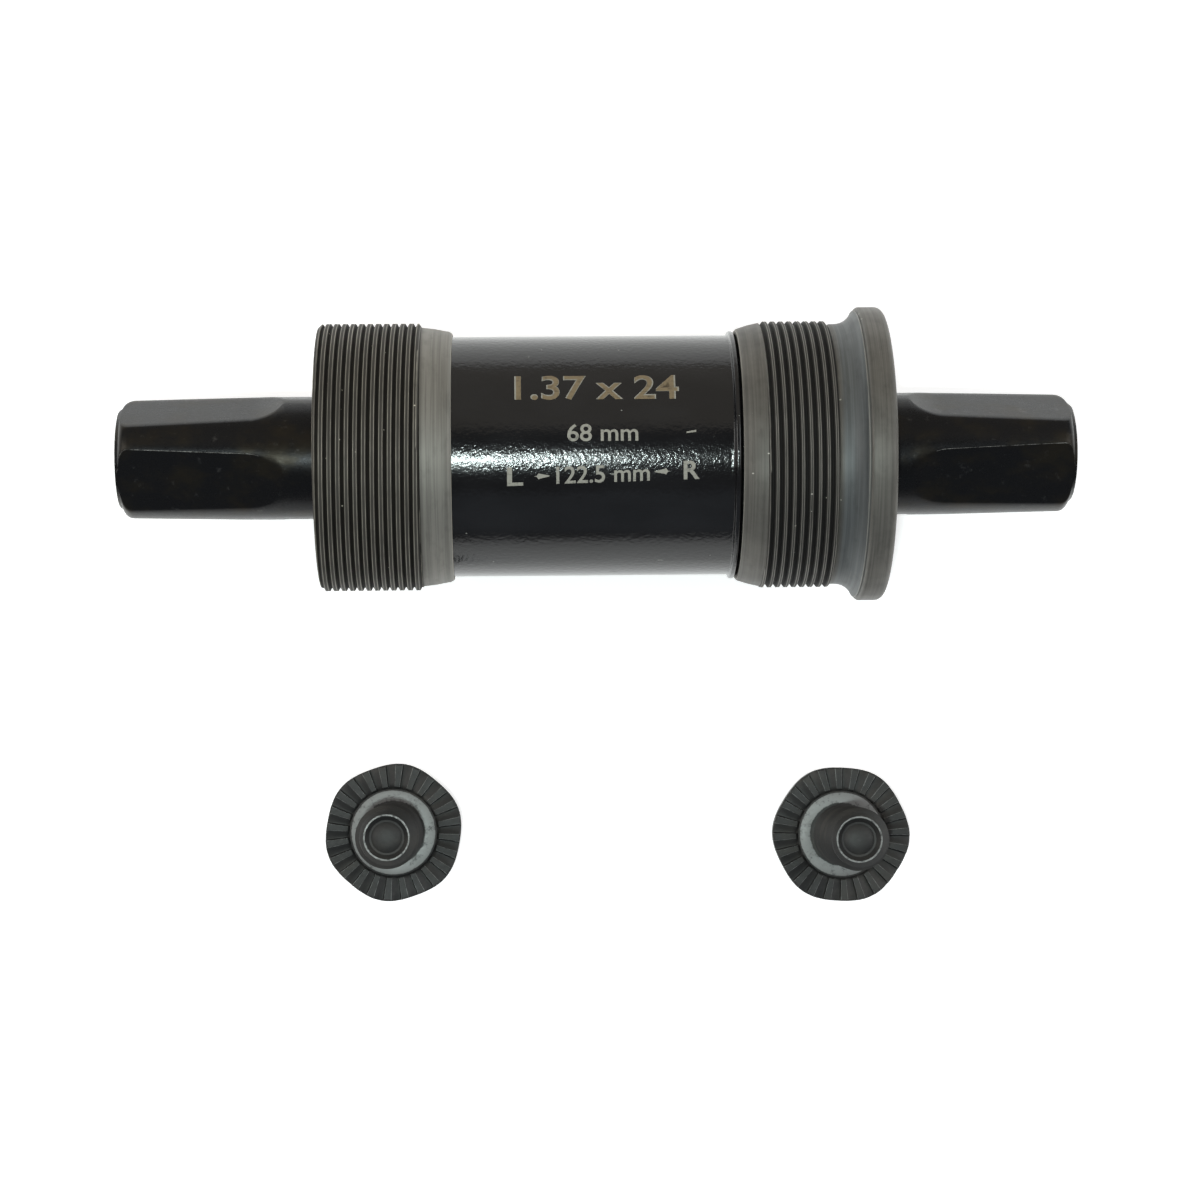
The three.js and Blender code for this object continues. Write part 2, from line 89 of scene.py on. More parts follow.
class Body(Enum):
    """The moving bodies of the frame."""

    CARTRIDGE = "cartridge"
    SPINDLE = "spindle"
    LEFT_BALLS = "left_ball_set"
    RIGHT_BALLS = "right_ball_set"
    LEFT_CUP = "left_cup"
    LEFT_BOLT = "left_crank_bolt"
    RIGHT_BOLT = "right_crank_bolt"


@dataclass(frozen=True)
class Envelope:
    """The space that a CAD node fills about the spindle's axis, in millimetres."""

    start: float
    end: float
    radius: float

    @classmethod
    def of(cls, node: str) -> "Envelope":
        """Reads a node's envelope from the frame.

        Args:
            node: the CAD node's name.

        Returns:
            Its first and last place along X, and its largest height.
        """
        low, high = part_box(node)
        return cls(low.x / MM, high.x / MM, high.z / MM)


# ---- Shader maths ----


class Signal:
    """A number that varies over a surface: one output socket, with arithmetic."""

    def __init__(self, shader: "Shader", socket: bpy.types.NodeSocket) -> None:
        """Wraps an output socket of a shader's tree."""
        self.shader = shader
        self.socket = socket

    def _math(self, operation: str, first: "Signal | float", second: "Signal | float") -> "Signal":
        """Adds one Math node and returns its result."""
        node = self.shader.node("ShaderNodeMath", {"operation": operation}, {0: first, 1: second})
        return Signal(self.shader, node.outputs[0])

    def __add__(self, other: "Signal | float") -> "Signal":
        """self + other."""
        return self._math("ADD", self, other)

    def __radd__(self, other: float) -> "Signal":
        """other + self."""
        return self._math("ADD", other, self)

    def __sub__(self, other: "Signal | float") -> "Signal":
        """self - other."""
        return self._math("SUBTRACT", self, other)

    def __mul__(self, other: "Signal | float") -> "Signal":
        """self * other."""
        return self._math("MULTIPLY", self, other)

    def __rmul__(self, other: float) -> "Signal":
        """other * self."""
        return self._math("MULTIPLY", other, self)

    def __truediv__(self, other: "Signal | float") -> "Signal":
        """self / other."""
        return self._math("DIVIDE", self, other)

    def greater(self, other: "Signal | float") -> "Signal":
        """The larger of the two."""
        return self._math("MAXIMUM", self, other)

    def ramp(self, low: float, high: float) -> "Signal":
        """0 at low, 1 at high, smooth between and flat outside.

        Args:
            low: the value that becomes 0; it may be above high.
            high: the value that becomes 1.

        Returns:
            The new signal.
        """
        settings = {"interpolation_type": "SMOOTHSTEP"}
        sockets = {"Value": self, "From Min": low, "From Max": high}
        return Signal(self.shader, self.shader.node("ShaderNodeMapRange", settings, sockets).outputs["Result"])


Colour = tuple[float, float, float]


def scaled(colour: Colour, share: float) -> Colour:
    """A colour made lighter or darker."""
    return tuple(share * part for part in colour)


class Shader:
    """A node material with one Principled BSDF, built by short calls."""

    def __init__(self, name: str, **constants: float | Colour) -> None:
        """Starts a material.

        Args:
            name: the material's name.
            constants: values for the Principled BSDF's own sockets, with _ for a space.
        """
        self.material = bpy.data.materials.new(name)
        self.material.use_nodes = True
        self.tree = self.material.node_tree
        self.surface = self.tree.nodes["Principled BSDF"]
        for socket, value in constants.items():
            self.drive(socket.replace("_", " "), value)
        self.place = self.node("ShaderNodeTexCoord").outputs["Object"]

    def node(self, kind: str, settings: dict | None = None, sockets: dict | None = None) -> bpy.types.Node:
        """Adds any node.

        Args:
            kind: the node's type.
            settings: properties, set first.
            sockets: values or links for its inputs, by name or number.

        Returns:
            The new node.
        """
        made = self.tree.nodes.new(kind)
        for key, value in (settings or {}).items():
            setattr(made, key, value)
        for key, value in (sockets or {}).items():
            self._feed(made.inputs[key], value)
        return made

    def _feed(self, socket: bpy.types.NodeSocket, value: object) -> None:
        """Links a signal or socket into an input, or sets the input's value."""
        if isinstance(value, Signal):
            value = value.socket
        if isinstance(value, bpy.types.NodeSocket):
            self.tree.links.new(value, socket)
        elif isinstance(value, tuple) and len(socket.default_value) > len(value):
            socket.default_value = (*value, 1.0)
        else:
            socket.default_value = value

    def drive(self, socket: str, value: object) -> None:
        """Feeds one of the Principled BSDF's inputs."""
        self._feed(self.surface.inputs[socket], value)

    def stretched(self, along: float, across: float, offset: float = 0.0) -> bpy.types.NodeSocket:
        """Object coordinates scaled for grain that runs round the axis or along it.

        Args:
            along: features per millimetre along X.
            across: features per millimetre across it.
            offset: moves the pattern, in features.

        Returns:
            The scaled vector's socket.
        """
        scale = (along / MM, across / MM, across / MM)
        mapping = self.node("ShaderNodeMapping", {}, {"Vector": self.place, "Scale": scale})
        mapping.inputs["Location"].default_value = (offset, offset, offset)
        return mapping.outputs[0]

    def noise(self, where: bpy.types.NodeSocket, detail: float = 2.0, roughness: float = 0.5) -> Signal:
        """Fractal noise from 0 to 1, about 0.5."""
        sockets = {"Vector": where, "Scale": 1.0, "Detail": detail, "Roughness": roughness}
        return Signal(self, self.node("ShaderNodeTexNoise", {}, sockets).outputs[0])

    def specks(self, where: bpy.types.NodeSocket, size: float, share: float) -> Signal:
        """Small scattered dots.

        Args:
            where: the coordinates, one cell per unit.
            size: a dot's radius, in cells.
            share: the share of cells that hold one.

        Returns:
            1 on a dot and 0 off it.
        """
        cells = self.node("ShaderNodeTexVoronoi", {}, {"Vector": where, "Scale": 1.0})
        chosen = self.first_part(cells.outputs["Color"])
        near = Signal(self, cells.outputs["Distance"]).ramp(size, 0.6 * size)
        return near * chosen.ramp(share, share - 0.02)

    def first_part(self, vector: bpy.types.NodeSocket) -> Signal:
        """The X of a vector, or the red of a colour."""
        return Signal(self, self.node("ShaderNodeSeparateXYZ", {}, {0: vector}).outputs[0])

    def attribute(self, name: str) -> Signal:
        """A number stored on the mesh."""
        return Signal(self, self.node("ShaderNodeAttribute", {"attribute_name": name}).outputs["Fac"])

    def mix(self, share: Signal, first: object, second: object) -> bpy.types.NodeSocket:
        """A colour between two others."""
        sockets = {"Factor": share, 6: first, 7: second}  # by number, since the colours share names with others
        return self.node("ShaderNodeMix", {"data_type": "RGBA"}, sockets).outputs[2]

    def finish(self, colour: object, roughness: object, height: Signal, depth: float) -> bpy.types.Material:
        """Sets what every finish has.

        Args:
            colour: the base colour.
            roughness: the roughness.
            height: the fine relief, from 0 to 1.
            depth: how far the relief raises the surface where height is 1, in millimetres.

        Returns:
            The material.
        """
        self.drive("Base Color", colour)
        self.drive("Roughness", roughness)
        sockets = {"Height": height, "Distance": depth * MM, "Strength": 1.0}
        self.drive("Normal", self.node("ShaderNodeBump", {}, sockets).outputs[0])
        return self.material


# ---- Finishes ----


@dataclass(frozen=True)
class BlackCoat:
    """Glossy black electrocoat over rolled steel tube, with fine grit in it."""

    base: Colour = (0.0040, 0.0040, 0.0045)
    dust: Colour = (0.22, 0.22, 0.20)
    grain_per_mm: float = 1.9
    grain_depth: float = 0.040

    def build(self) -> bpy.types.Material:
        """Makes the material."""
        shader = Shader("black electrocoat", Specular_IOR_Level=0.45, Coat_Roughness=0.10, Coat_IOR=1.3)
        grit = shader.noise(shader.stretched(self.grain_per_mm, self.grain_per_mm), 3.0, 0.6)
        smears = shader.noise(shader.stretched(0.10, 0.22), 4.0, 0.55)
        dust = shader.specks(shader.stretched(0.62, 0.62), 0.075, 0.16)
        scuffs = shader.specks(shader.stretched(0.16, 0.5, 3.7), 0.09, 0.13)
        marks = dust.greater(scuffs * 0.8)
        tone = shader.mix(smears.ramp(0.35, 0.7), self.base, scaled(self.base, 1.7))
        shader.drive("Coat Weight", 0.05 + 0.1 * smears)
        roughness = 0.09 + 0.10 * smears + 0.35 * marks
        return shader.finish(shader.mix(marks, tone, self.dust), roughness, grit + 2.0 * marks, self.grain_depth)


@dataclass(frozen=True)
class TurnedSteel:
    """Bare steel as a lathe leaves it: fine rings, worn bright along its edges, where the brightness is also a
    painted highlight, and painted shade down in the grooves.
    """

    name: str
    base: Colour
    # the colour of worn edges and crests, which also paints their highlight
    bright: Colour
    # the colour of lathe marks and stains, and of the painted shade in the grooves
    dark: Colour
    tint: Colour
    tinted: tuple[float, float] = (0.0, 0.0)  # the stretch of X that has the tint, in millimetres
    roughness: float = 0.54
    rings_per_mm: float = 7.0
    ring_depth: float = 0.006

    def build(self) -> bpy.types.Material:
        """Makes the material."""
        shader = Shader(self.name, Metallic=0.45, Specular_IOR_Level=0.4)
        rings = shader.noise(shader.stretched(self.rings_per_mm, 0.05), 3.0, 0.7)
        cloud = shader.noise(shader.stretched(0.12, 0.16), 4.0, 0.6)
        stain = shader.noise(shader.stretched(0.9, 0.35, 11.0), 3.0, 0.6)
        grit = shader.noise(shader.stretched(6.0, 6.0), 2.0, 0.5)
        nicks = shader.specks(shader.stretched(0.55, 0.9, 7.3), 0.10, 0.12)
        # Painted shade: the groove mark darkens thread roots and flanks.
        deep = shader.attribute("groove").ramp(0.15, 0.9)
        first, last = self.tinted
        along = shader.first_part(shader.place) / MM
        stretch = along.ramp(first - 0.4, first + 0.5) * along.ramp(last + 0.3, last - 0.2)
        tone = shader.mix(cloud.ramp(0.35, 0.65), self.base, scaled(self.base, 0.80))
        tone = shader.mix(0.85 * stretch, tone, self.tint)
        lathe = shader.noise(shader.stretched(2.6, 0.03, 2.0), 3.0, 0.7)
        tone = shader.mix(0.32 * lathe.ramp(0.38, 0.66), tone, self.dark)
        tone = shader.mix(0.16 * stain.ramp(0.50, 0.72), tone, self.dark)
        tone = shader.mix(deep, tone, self.dark)
        # Painted highlight: worn edges and thread crests are lightened, partly as wear and partly for the light
        # they catch.
        edge_wear_and_highlight = (shader.attribute("wear") * (0.35 + rings) * (0.4 + stain)).ramp(0.25, 0.95)
        tone = shader.mix((0.55 * edge_wear_and_highlight).greater(nicks), tone, self.bright)
        return shader.finish(
            tone, self.roughness + 0.22 * (cloud - 0.5) + 0.25 * deep, rings + 0.35 * grit, self.ring_depth
        )


@dataclass(frozen=True)
class BlackOxide:
    """Dark oxide on steel, rubbed bright along the edges; on the spindle's taper corners and the bolts' tip rings
    the bright edges are also a painted highlight.
    """

    name: str
    base: Colour = (0.0125, 0.0125, 0.0135)
    # the colour of rubbed edges, which on the spindle's corners and the bolts' tip rings also paints a highlight
    worn: Colour = (0.40, 0.39, 0.37)
    brown: Colour = (0.022, 0.0185, 0.0135)
    roughness: float = 0.31
    wear: float = 1.0
    grain_depth: float = 0.012

    def build(self) -> bpy.types.Material:
        """Makes the material."""
        shader = Shader(self.name, Metallic=0.7, Specular_IOR_Level=0.32)
        edge = shader.attribute("wear")
        cloud = shader.noise(shader.stretched(0.14, 0.22), 4.0, 0.6)
        patch = shader.noise(shader.stretched(0.7, 0.7, 5.0), 4.0, 0.65)
        grain = shader.noise(shader.stretched(2.2, 3.4), 4.0, 0.65)
        pits = shader.specks(shader.stretched(1.1, 1.1), 0.16, 0.10)
        chipped = shader.noise(shader.stretched(2.6, 2.6, 3.0), 4.0, 0.75)
        # Rubbed edges; on the spindle's corners and the bolts' tip rings this is also a painted highlight.
        rubbed = self.wear * (edge * (0.1 + 0.9 * patch + 0.7 * chipped)).ramp(0.66, 0.98)
        tone = shader.mix(cloud.ramp(0.45, 0.70), self.base, self.brown)
        tone = shader.mix(0.10 * patch.ramp(0.60, 0.78), tone, self.worn)
        roughness = self.roughness + 0.25 * (grain - 0.5) + 0.2 * (cloud - 0.5) - 0.08 * rubbed
        return shader.finish(shader.mix(rubbed, tone, self.worn), roughness, grain - 0.6 * pits, self.grain_depth)


@dataclass(frozen=True)
class BearingSteel:
    """Ground or polished bearing steel."""

    name: str
    base: Colour = (0.56, 0.57, 0.58)
    roughness: float = 0.16
    rings_per_mm: float = 5.0
    ring_depth: float = 0.002

    def build(self) -> bpy.types.Material:
        """Makes the material."""
        shader = Shader(self.name, Metallic=1.0)
        rings = shader.noise(shader.stretched(self.rings_per_mm, 0.08), 3.0, 0.6)
        oil = shader.noise(shader.stretched(0.35, 0.35), 3.0, 0.5)
        tone = shader.mix(oil.ramp(0.4, 0.7), self.base, scaled(self.base, 0.8))
        return shader.finish(tone, self.roughness + 0.08 * rings + 0.10 * oil, rings, self.ring_depth)


@dataclass(frozen=True)
class MouldedRubber:
    """Black nitrile rubber with a fine matt skin."""

    name: str
    base: Colour = (0.014, 0.014, 0.014)
    grain_depth: float = 0.01

    def build(self) -> bpy.types.Material:
        """Makes the material."""
        shader = Shader(self.name, Specular_IOR_Level=0.4)
        skin = shader.noise(shader.stretched(5.0, 5.0), 3.0, 0.6)
        bloom = shader.noise(shader.stretched(0.3, 0.3), 3.0, 0.5)
        tone = shader.mix(bloom.ramp(0.45, 0.8), self.base, scaled(self.base, 2.2))
        return shader.finish(tone, 0.55 + 0.2 * skin, skin, self.grain_depth)


@dataclass(frozen=True)
class EtchedMark:
    """A mark burnt through the coat: pale, a little uneven and matt."""

    name: str
    base: Colour
    shade: Colour
    grain_depth: float = 0.006

    def build(self) -> bpy.types.Material:
        """Makes the material."""
        shader = Shader(self.name, Metallic=0.15, Specular_IOR_Level=0.4)
        dots = shader.noise(shader.stretched(3.2, 3.2), 3.0, 0.7)
        lines = shader.noise(shader.stretched(0.4, 6.0), 2.0, 0.5)
        burn = (0.6 * dots + 0.4 * lines).ramp(0.30, 0.52)
        return shader.finish(shader.mix(burn, self.shade, self.base), 0.45 + 0.25 * dots, dots, self.grain_depth)


# ---- Shaping ----


def polar(along: float, radius: float, angle: float) -> Vector:
    """A point about the X axis; the angle is counted from +Z towards +Y."""
    return Vector((along, radius * math.sin(angle), radius * math.cos(angle)))


def radius_of(point: Vector) -> float:
    """How far a point lies from the X axis."""
    return math.hypot(point.y, point.z)


def angle_of(point: Vector) -> float:
    """How far round the X axis a point lies, from +Z towards +Y."""
    return math.atan2(point.y, point.z)


def level(along: float, radius: float) -> Placing:
    """Sends each vertex to a circle, at the angle where it is."""
    return lambda vert: polar(along, radius, angle_of(vert.co))


def levels(*section: Point) -> list[Placing]:
    """The stations of a turned section."""
    return [level(along, radius) for along, radius in section]


def arc(centre: Point, radius: float, start: float, end: float, steps: int) -> list[Point]:
    """Points along an arc in an (along, radius) section.

    Args:
        centre: the arc's centre.
        radius: its radius.
        start: the angle of its first point in degrees, from straight out and positive towards +X.
        end: the angle of its last point.
        steps: how many chords it has.

    Returns:
        The points, both ends included.
    """
    angles = (math.radians(start + (end - start) * i / steps) for i in range(steps + 1))
    return [(centre[0] + radius * math.sin(a), centre[1] + radius * math.cos(a)) for a in angles]


def to_object(name: str, mesh: bmesh.types.BMesh, material: bpy.types.Material) -> bpy.types.Object:
    """Puts a mesh into the scene, and frees it.

    Args:
        name: the object's name.
        mesh: the mesh, in metres.
        material: its finish.

    Returns:
        The object.
    """
    data = bpy.data.meshes.new(name)
    mesh.to_mesh(data)
    mesh.free()
    data.materials.append(material)
    made = bpy.data.objects.new(name, data)
    bpy.context.scene.collection.objects.link(made)
    return made


@dataclass(frozen=True)
class Thread:
    """A V thread with a flattened crest and root."""

    pitch: float
    crest: float
    root: float
    hand: Hand = Hand.RIGHT
    steps: int = ROUND_STEPS
    flat: float = 0.12  # the crest's width, as a share of the pitch

    def profile(self) -> list[Point]:
        """One pitch of the thread's section, from root to root."""
        depth = self.crest - self.root
        half = self.flat / 2
        rises = ((0.0, 0.0), (0.07, 0.03), (0.46 - half, 0.93), (0.5 - half, 1.0), (0.5 - half / 2, 0.93))
        shares = [*rises, *((1.0 - share, rise) for share, rise in reversed(rises))]
        return [(share * self.pitch, self.root + rise * depth) for share, rise in shares]


class Stock:
    """A piece being shaped about the X axis, in millimetres."""

    def __init__(self, mesh: bmesh.types.BMesh | None = None) -> None:
        """Starts with nothing, or with a mesh that something else made."""
        self.mesh = mesh or bmesh.new()
        self.mesh.verts.layers.float.new("wear")
        self.mesh.verts.layers.float.new("groove")
        self.mesh.verts.layers.int.new("column")

    def turn(self, section: list[Point], steps: int = ROUND_STEPS, rounding: float = 0.0) -> "Stock":
        """Spins a closed section about the axis.

        Args:
            section: its corners, in order.
            steps: how many facets go round.
            rounding: how much each corner is rounded.

        Returns:
            This stock.
        """
        corners = [self.mesh.verts.new((along, 0.0, radius)) for along, radius in section]
        for first, second in zip(corners, corners[1:] + corners[:1]):
            self.mesh.edges.new((first, second))
        if rounding:
            bmesh.ops.bevel(
                self.mesh, geom=corners, offset=rounding, affect="VERTICES", segments=3, profile=0.5,
                clamp_overlap=True, material=-1,
            )
        wire = [v for v in self.mesh.verts if not v.link_faces] + [e for e in self.mesh.edges if e.is_wire]
        bmesh.ops.spin(
            self.mesh, geom=wire, cent=ORIGIN, axis=X_AXIS, angle=math.tau, steps=steps, use_merge=True
        )
        return self

    def wind(self, thread: Thread, start: float, end: float) -> "Stock":
        """Winds a thread and trims it square at both ends.

        Args:
            thread: its shape.
            start: where it begins along the axis.
            end: where it ends.

        Returns:
            This stock.
        """
        older = set(self.mesh.verts)
        turns = math.ceil((end - start) / thread.pitch) + 3
        first = start - 1.5 * thread.pitch
        ridge = [self.mesh.verts.new((first + along, 0.0, radius)) for along, radius in thread.profile()]
        wire = [self.mesh.edges.new(pair) for pair in zip(ridge, ridge[1:])]
        bmesh.ops.spin(
            self.mesh, geom=ridge + wire, cent=ORIGIN, axis=X_AXIS, dvec=X_AXIS * thread.pitch / thread.steps,
            angle=-thread.hand.value * math.tau, steps=thread.steps,
        )
        crest = thread.root + 0.96 * (thread.crest - thread.root)
        # Painted shade: the flanks and roots are marked as "groove", which the cups' finish paints dark.
        for below, amount in ((crest, FLANK_SHADE), (thread.root + 0.1, 1.0)):
            self.mark("groove", [v for v in self.since(older) if radius_of(v.co) < below], amount)
        band = self.attached(self.since(older))
        for number in range(1, turns):
            copy = bmesh.ops.duplicate(self.mesh, geom=band)["geom"]
            moved = [item for item in copy if isinstance(item, BMVert)]
            bmesh.ops.translate(self.mesh, vec=X_AXIS * thread.pitch * number, verts=moved)
        bmesh.ops.remove_doubles(self.mesh, verts=self.since(older), dist=WELD * 2)
        for place, keep_after in ((start, True), (end, False)):
            bmesh.ops.bisect_plane(
                self.mesh, geom=self.attached(self.since(older)), dist=WELD / 2, plane_co=X_AXIS * place,
                plane_no=X_AXIS, clear_inner=keep_after, clear_outer=not keep_after,
            )
        return self

    def since(self, older: set[BMVert]) -> list[BMVert]:
        """The vertices that are not among the older ones."""
        return [vert for vert in self.mesh.verts if vert not in older]

    def attached(self, verts: list[BMVert]) -> list[BMVert | BMEdge | BMFace]:
        """Some vertices with all their edges and faces, in an order that is the same each run."""
        edges = dict.fromkeys(edge for vert in verts for edge in vert.link_edges)
        faces = dict.fromkeys(face for vert in verts for face in vert.link_faces)
        return [*verts, *edges, *faces]

    def rim(self, place: float) -> list[BMEdge]:
        """The open edges that lie at one place along the axis."""
        return [
            edge for edge in self.mesh.edges
            if edge.is_boundary and all(abs(v.co.x - place) < WELD for v in edge.verts)
        ]

    def rim_within(self, place: float, radius: float) -> list[BMEdge]:
        """The open edges at one place along the axis that have faces and lie within a radius."""
        return [edge for edge in self.rim(place) if all(radius_of(v.co) < radius for v in edge.verts)]

    def place_rim(self, rim: list[BMEdge], station: Placing) -> None:
        """Moves the vertices of a rim."""
        for vert in {vert for edge in rim for vert in edge.verts}:
            vert.co = station(vert)

    def circle(self, along: float, radius: float, steps: int = ROUND_STEPS) -> list[BMEdge]:
        """Adds a free circle about the axis and returns its edges."""
        turn = Matrix.Rotation(math.pi / 2, 4, "Y")
        made = bmesh.ops.create_circle(self.mesh, segments=steps, radius=radius, matrix=turn)
        verts = set(made["verts"])
        for vert in verts:
            vert.co.x = along
        return [edge for edge in self.mesh.edges if verts.issuperset(edge.verts)]

    def carry(self, rim: list[BMEdge], *stations: Placing) -> list[BMEdge]:
        """Extrudes a rim from station to station.

        Args:
            rim: the edges to extrude.
            stations: for each step, a function that says where a vertex goes.

        Returns:
            The last rim.
        """
        for station in stations:
            grown = bmesh.ops.extrude_edge_only(self.mesh, edges=rim)["geom"]
            verts = {item for item in grown if isinstance(item, BMVert)}
            for vert in verts:
                vert.co = station(vert)
            self.mark("groove", verts, 0.0)
            rim = [item for item in grown if isinstance(item, BMEdge) and verts.issuperset(item.verts)]
        return rim

    def web(self, edges: list[BMEdge]) -> None:
        """Fills the flat ground between two rims."""
        bmesh.ops.triangle_fill(self.mesh, use_beauty=True, edges=edges, normal=X_AXIS)

    def cap(self, rim: list[BMEdge]) -> None:
        """Closes a rim with one face."""
        bmesh.ops.contextual_create(self.mesh, geom=rim)

    def limit(self, allowed: Callable[[float], float]) -> None:
        """Pulls in every vertex that stands further out than the allowed radius at its place along the axis."""
        for vert in self.mesh.verts:
            most = allowed(vert.co.x)
            if radius_of(vert.co) > most:
                vert.co = polar(vert.co.x, most, angle_of(vert.co))

    def mark(self, name: str, verts: Iterable[BMVert], amount: float = 1.0) -> None:
        """Stores an amount per vertex: "wear" where the finish is worn bright, which on the cups' crests, the
        spindle's corners and the bolts' tip rings is also a painted highlight, and "groove" where it lies deep,
        which the cups' finish paints as shade.
        """
        layer = self.mesh.verts.layers.float[name]
        for vert in verts:
            vert[layer] = amount

    def wear_sharp(self, amount: float = 1.0, least: float = SHARP_ANGLE) -> None:
        """Marks wear on every outward edge that is sharper than least; on the cups' thread crests it also stands
        for a painted highlight.
        """
        self.mesh.normal_update()
        worn = {
            vert for edge in self.mesh.edges
            if edge.is_manifold and edge.is_convex and edge.calc_face_angle(0.0) > least for vert in edge.verts
        }
        self.mark("wear", worn, amount)

    def settle(self) -> None:
        """Welds what touches and faces everything outwards."""
        bmesh.ops.remove_doubles(self.mesh, verts=self.mesh.verts[:], dist=WELD)
        bmesh.ops.recalc_face_normals(self.mesh, faces=self.mesh.faces[:])

    def finish(
        self, name: str, body: Body, slot: str, material: bpy.types.Material, place: Matrix | None = None,
        replaces: bool = True,
    ) -> None:
        """Turns the stock into a finished piece.

        Args:
            name: the CAD node that it stands for, or a mark's own name.
            body: the moving body that it rides on.
            slot: the record's material slot; not used.
            material: its finish.
            place: turns and moves it, in millimetres, before it is scaled.
            replaces: False for a mark, which no CAD node stands behind.
        """
        self.settle()
        for edge in self.mesh.edges:
            edge.smooth = not edge.is_manifold or edge.calc_face_angle(0.0) < SHARP_ANGLE
        for face in self.mesh.faces:
            face.smooth = True
        bmesh.ops.transform(self.mesh, matrix=place or Matrix.Identity(4), verts=self.mesh.verts[:])
        bmesh.ops.scale(self.mesh, vec=Vector((MM, MM, MM)), verts=self.mesh.verts[:])
        open_edges = sum(not edge.is_manifold for edge in self.mesh.edges)
        piece = to_object(f"{name}_visual" if replaces else name, self.mesh, material)
        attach(piece, body.value)
        if replaces:
            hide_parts(name)
        faces = len(piece.data.polygons)
        LOG.info("%s: %d faces, %d open edges, rides on %s", piece.name, faces, open_edges, body.value)

    def outline(self, along: float, angles: list[float], radius: Callable[[float], float]) -> list[BMEdge]:
        """Adds a free closed outline about the axis.

        Args:
            along: its place along the axis.
            angles: the angles of its corners, in order.
            radius: the radius at each angle.

        Returns:
            Its edges.
        """
        column = self.mesh.verts.layers.int["column"]
        corners = [self.mesh.verts.new(polar(along, radius(angle), angle)) for angle in angles]
        for number, vert in enumerate(corners):
            vert[column] = number
        return [self.mesh.edges.new(pair) for pair in zip(corners, corners[1:] + corners[:1])]

    def column(self, vert: BMVert) -> int:
        """The place of a vertex in the outline that it was carried from."""
        return vert[self.mesh.verts.layers.int["column"]]


# ---- Cups ----


@dataclass(frozen=True)
class SplineSocket:
    """The splined hole that a cup tool fits."""

    depth: float
    count: int = 20
    tip: float = 14.0
    root: float = 15.2
    root_share: float = 0.16  # half a groove's width at its root, as a share of the spline pitch
    tip_share: float = 0.28
    groove_points: tuple[float, ...] = (-0.05, 0.05)  # corners between, which keep the outline round
    tooth_points: tuple[float, ...] = (0.39, 0.5, 0.61)
    mouth: float = 0.25
    hole: float = 13.6

    def angles(self) -> list[float]:
        """The angles of the outline's corners, in order."""
        groove = (-self.tip_share, -self.root_share, *self.groove_points, self.root_share, self.tip_share)
        shares = (*groove, *self.tooth_points)
        return [(spline + share) * math.tau / self.count for spline in range(self.count) for share in shares]

    def radius(self, angle: float) -> float:
        """The outline's radius at an angle."""
        share = abs((angle * self.count / math.tau + 0.5) % 1.0 - 0.5)
        rise = (share - self.root_share) / (self.tip_share - self.root_share)
        return self.root + (self.tip - self.root) * min(max(rise, 0.0), 1.0)

    def cut(self, stock: Stock, face: float, back: float, inward: int, rim: list[BMEdge]) -> list[BMEdge]:
        """Sinks the socket into a face and opens a hole through its floor.

        Args:
            stock: the piece.
            face: the face's place along the axis.
            back: the place of the far side of the socket's floor.
            inward: 1 when the socket runs towards +X, and -1 when it runs the other way.
            rim: the face's outer edge.

        Returns:
            The rim of the hole, on the far side of the floor.
        """
        floor = face + inward * self.depth
        mouth = stock.outline(face, self.angles(), lambda angle: self.radius(angle) + self.mouth)
        stock.web(rim + mouth)

        def wall(along: float) -> Placing:
            return lambda vert: polar(along, self.radius(angle_of(vert.co)), angle_of(vert.co))

        foot = stock.carry(mouth, wall(face + inward * self.mouth), wall(floor))
        hole = stock.circle(floor, self.hole)
        stock.web(foot + hole)
        return stock.carry(hole, level(back, self.hole))


@dataclass(frozen=True)
class LeftCup:
    """The non-drive cup: a thread over most of its length and a plain, slightly tapered land."""

    steel: bpy.types.Material
    thread: Thread = Thread(pitch=25.4 / 24, crest=17.2, root=16.76, flat=0.42)
    socket: SplineSocket = SplineSocket(depth=7.4)
    bore: float = 15.55
    thread_end: float = -21.7
    shoulder: float = 0.5  # how far the end chamfers reach
    land: float = 16.65
    entry: tuple[float, float] = (0.08, 0.9)  # the thread's chamfer at the face: its foot's height and its slope
    runout_slope: float = 1.6
    stop_gap: float = 0.3  # between the cup's stop and the end of the shell

    def build(self) -> None:
        """Makes the cup."""
        place = Envelope.of("left_cup")
        stop = Envelope.of("cartridge_shell").start - self.stop_gap
        stock = Stock().wind(self.thread, place.start, self.thread_end)
        foot, slope = self.entry
        stock.limit(
            lambda x: min(
                self.land + foot + slope * (x - place.start), self.land + self.runout_slope * (self.thread_end - x)
            )
        )
        hole = self.socket.cut(stock, place.start, stop, 1, stock.rim(place.start))
        bore = stock.carry(
            hole, *levels((stop, self.bore), (place.end - 0.3, self.bore), (place.end, self.bore + 0.15))
        )
        narrow = self.land - self.shoulder
        outer = stock.carry(
            stock.rim(self.thread_end),
            *levels(
                (self.thread_end + 0.02, self.land), (self.thread_end + 0.3, self.land - 0.03),
                (self.thread_end + 1.6, self.land - 0.18), (place.end - self.shoulder - 0.3, narrow + 0.03),
                (place.end - self.shoulder, narrow), (place.end - 0.15, narrow - 0.18), (place.end, narrow - 0.33),
            ),
        )
        stock.web(outer + bore)
        stock.settle()
        # Worn edges; on the thread crests their brightness is also a painted highlight.
        stock.wear_sharp()
        stock.finish("left_cup", Body.LEFT_CUP, "cup_steel", self.steel)


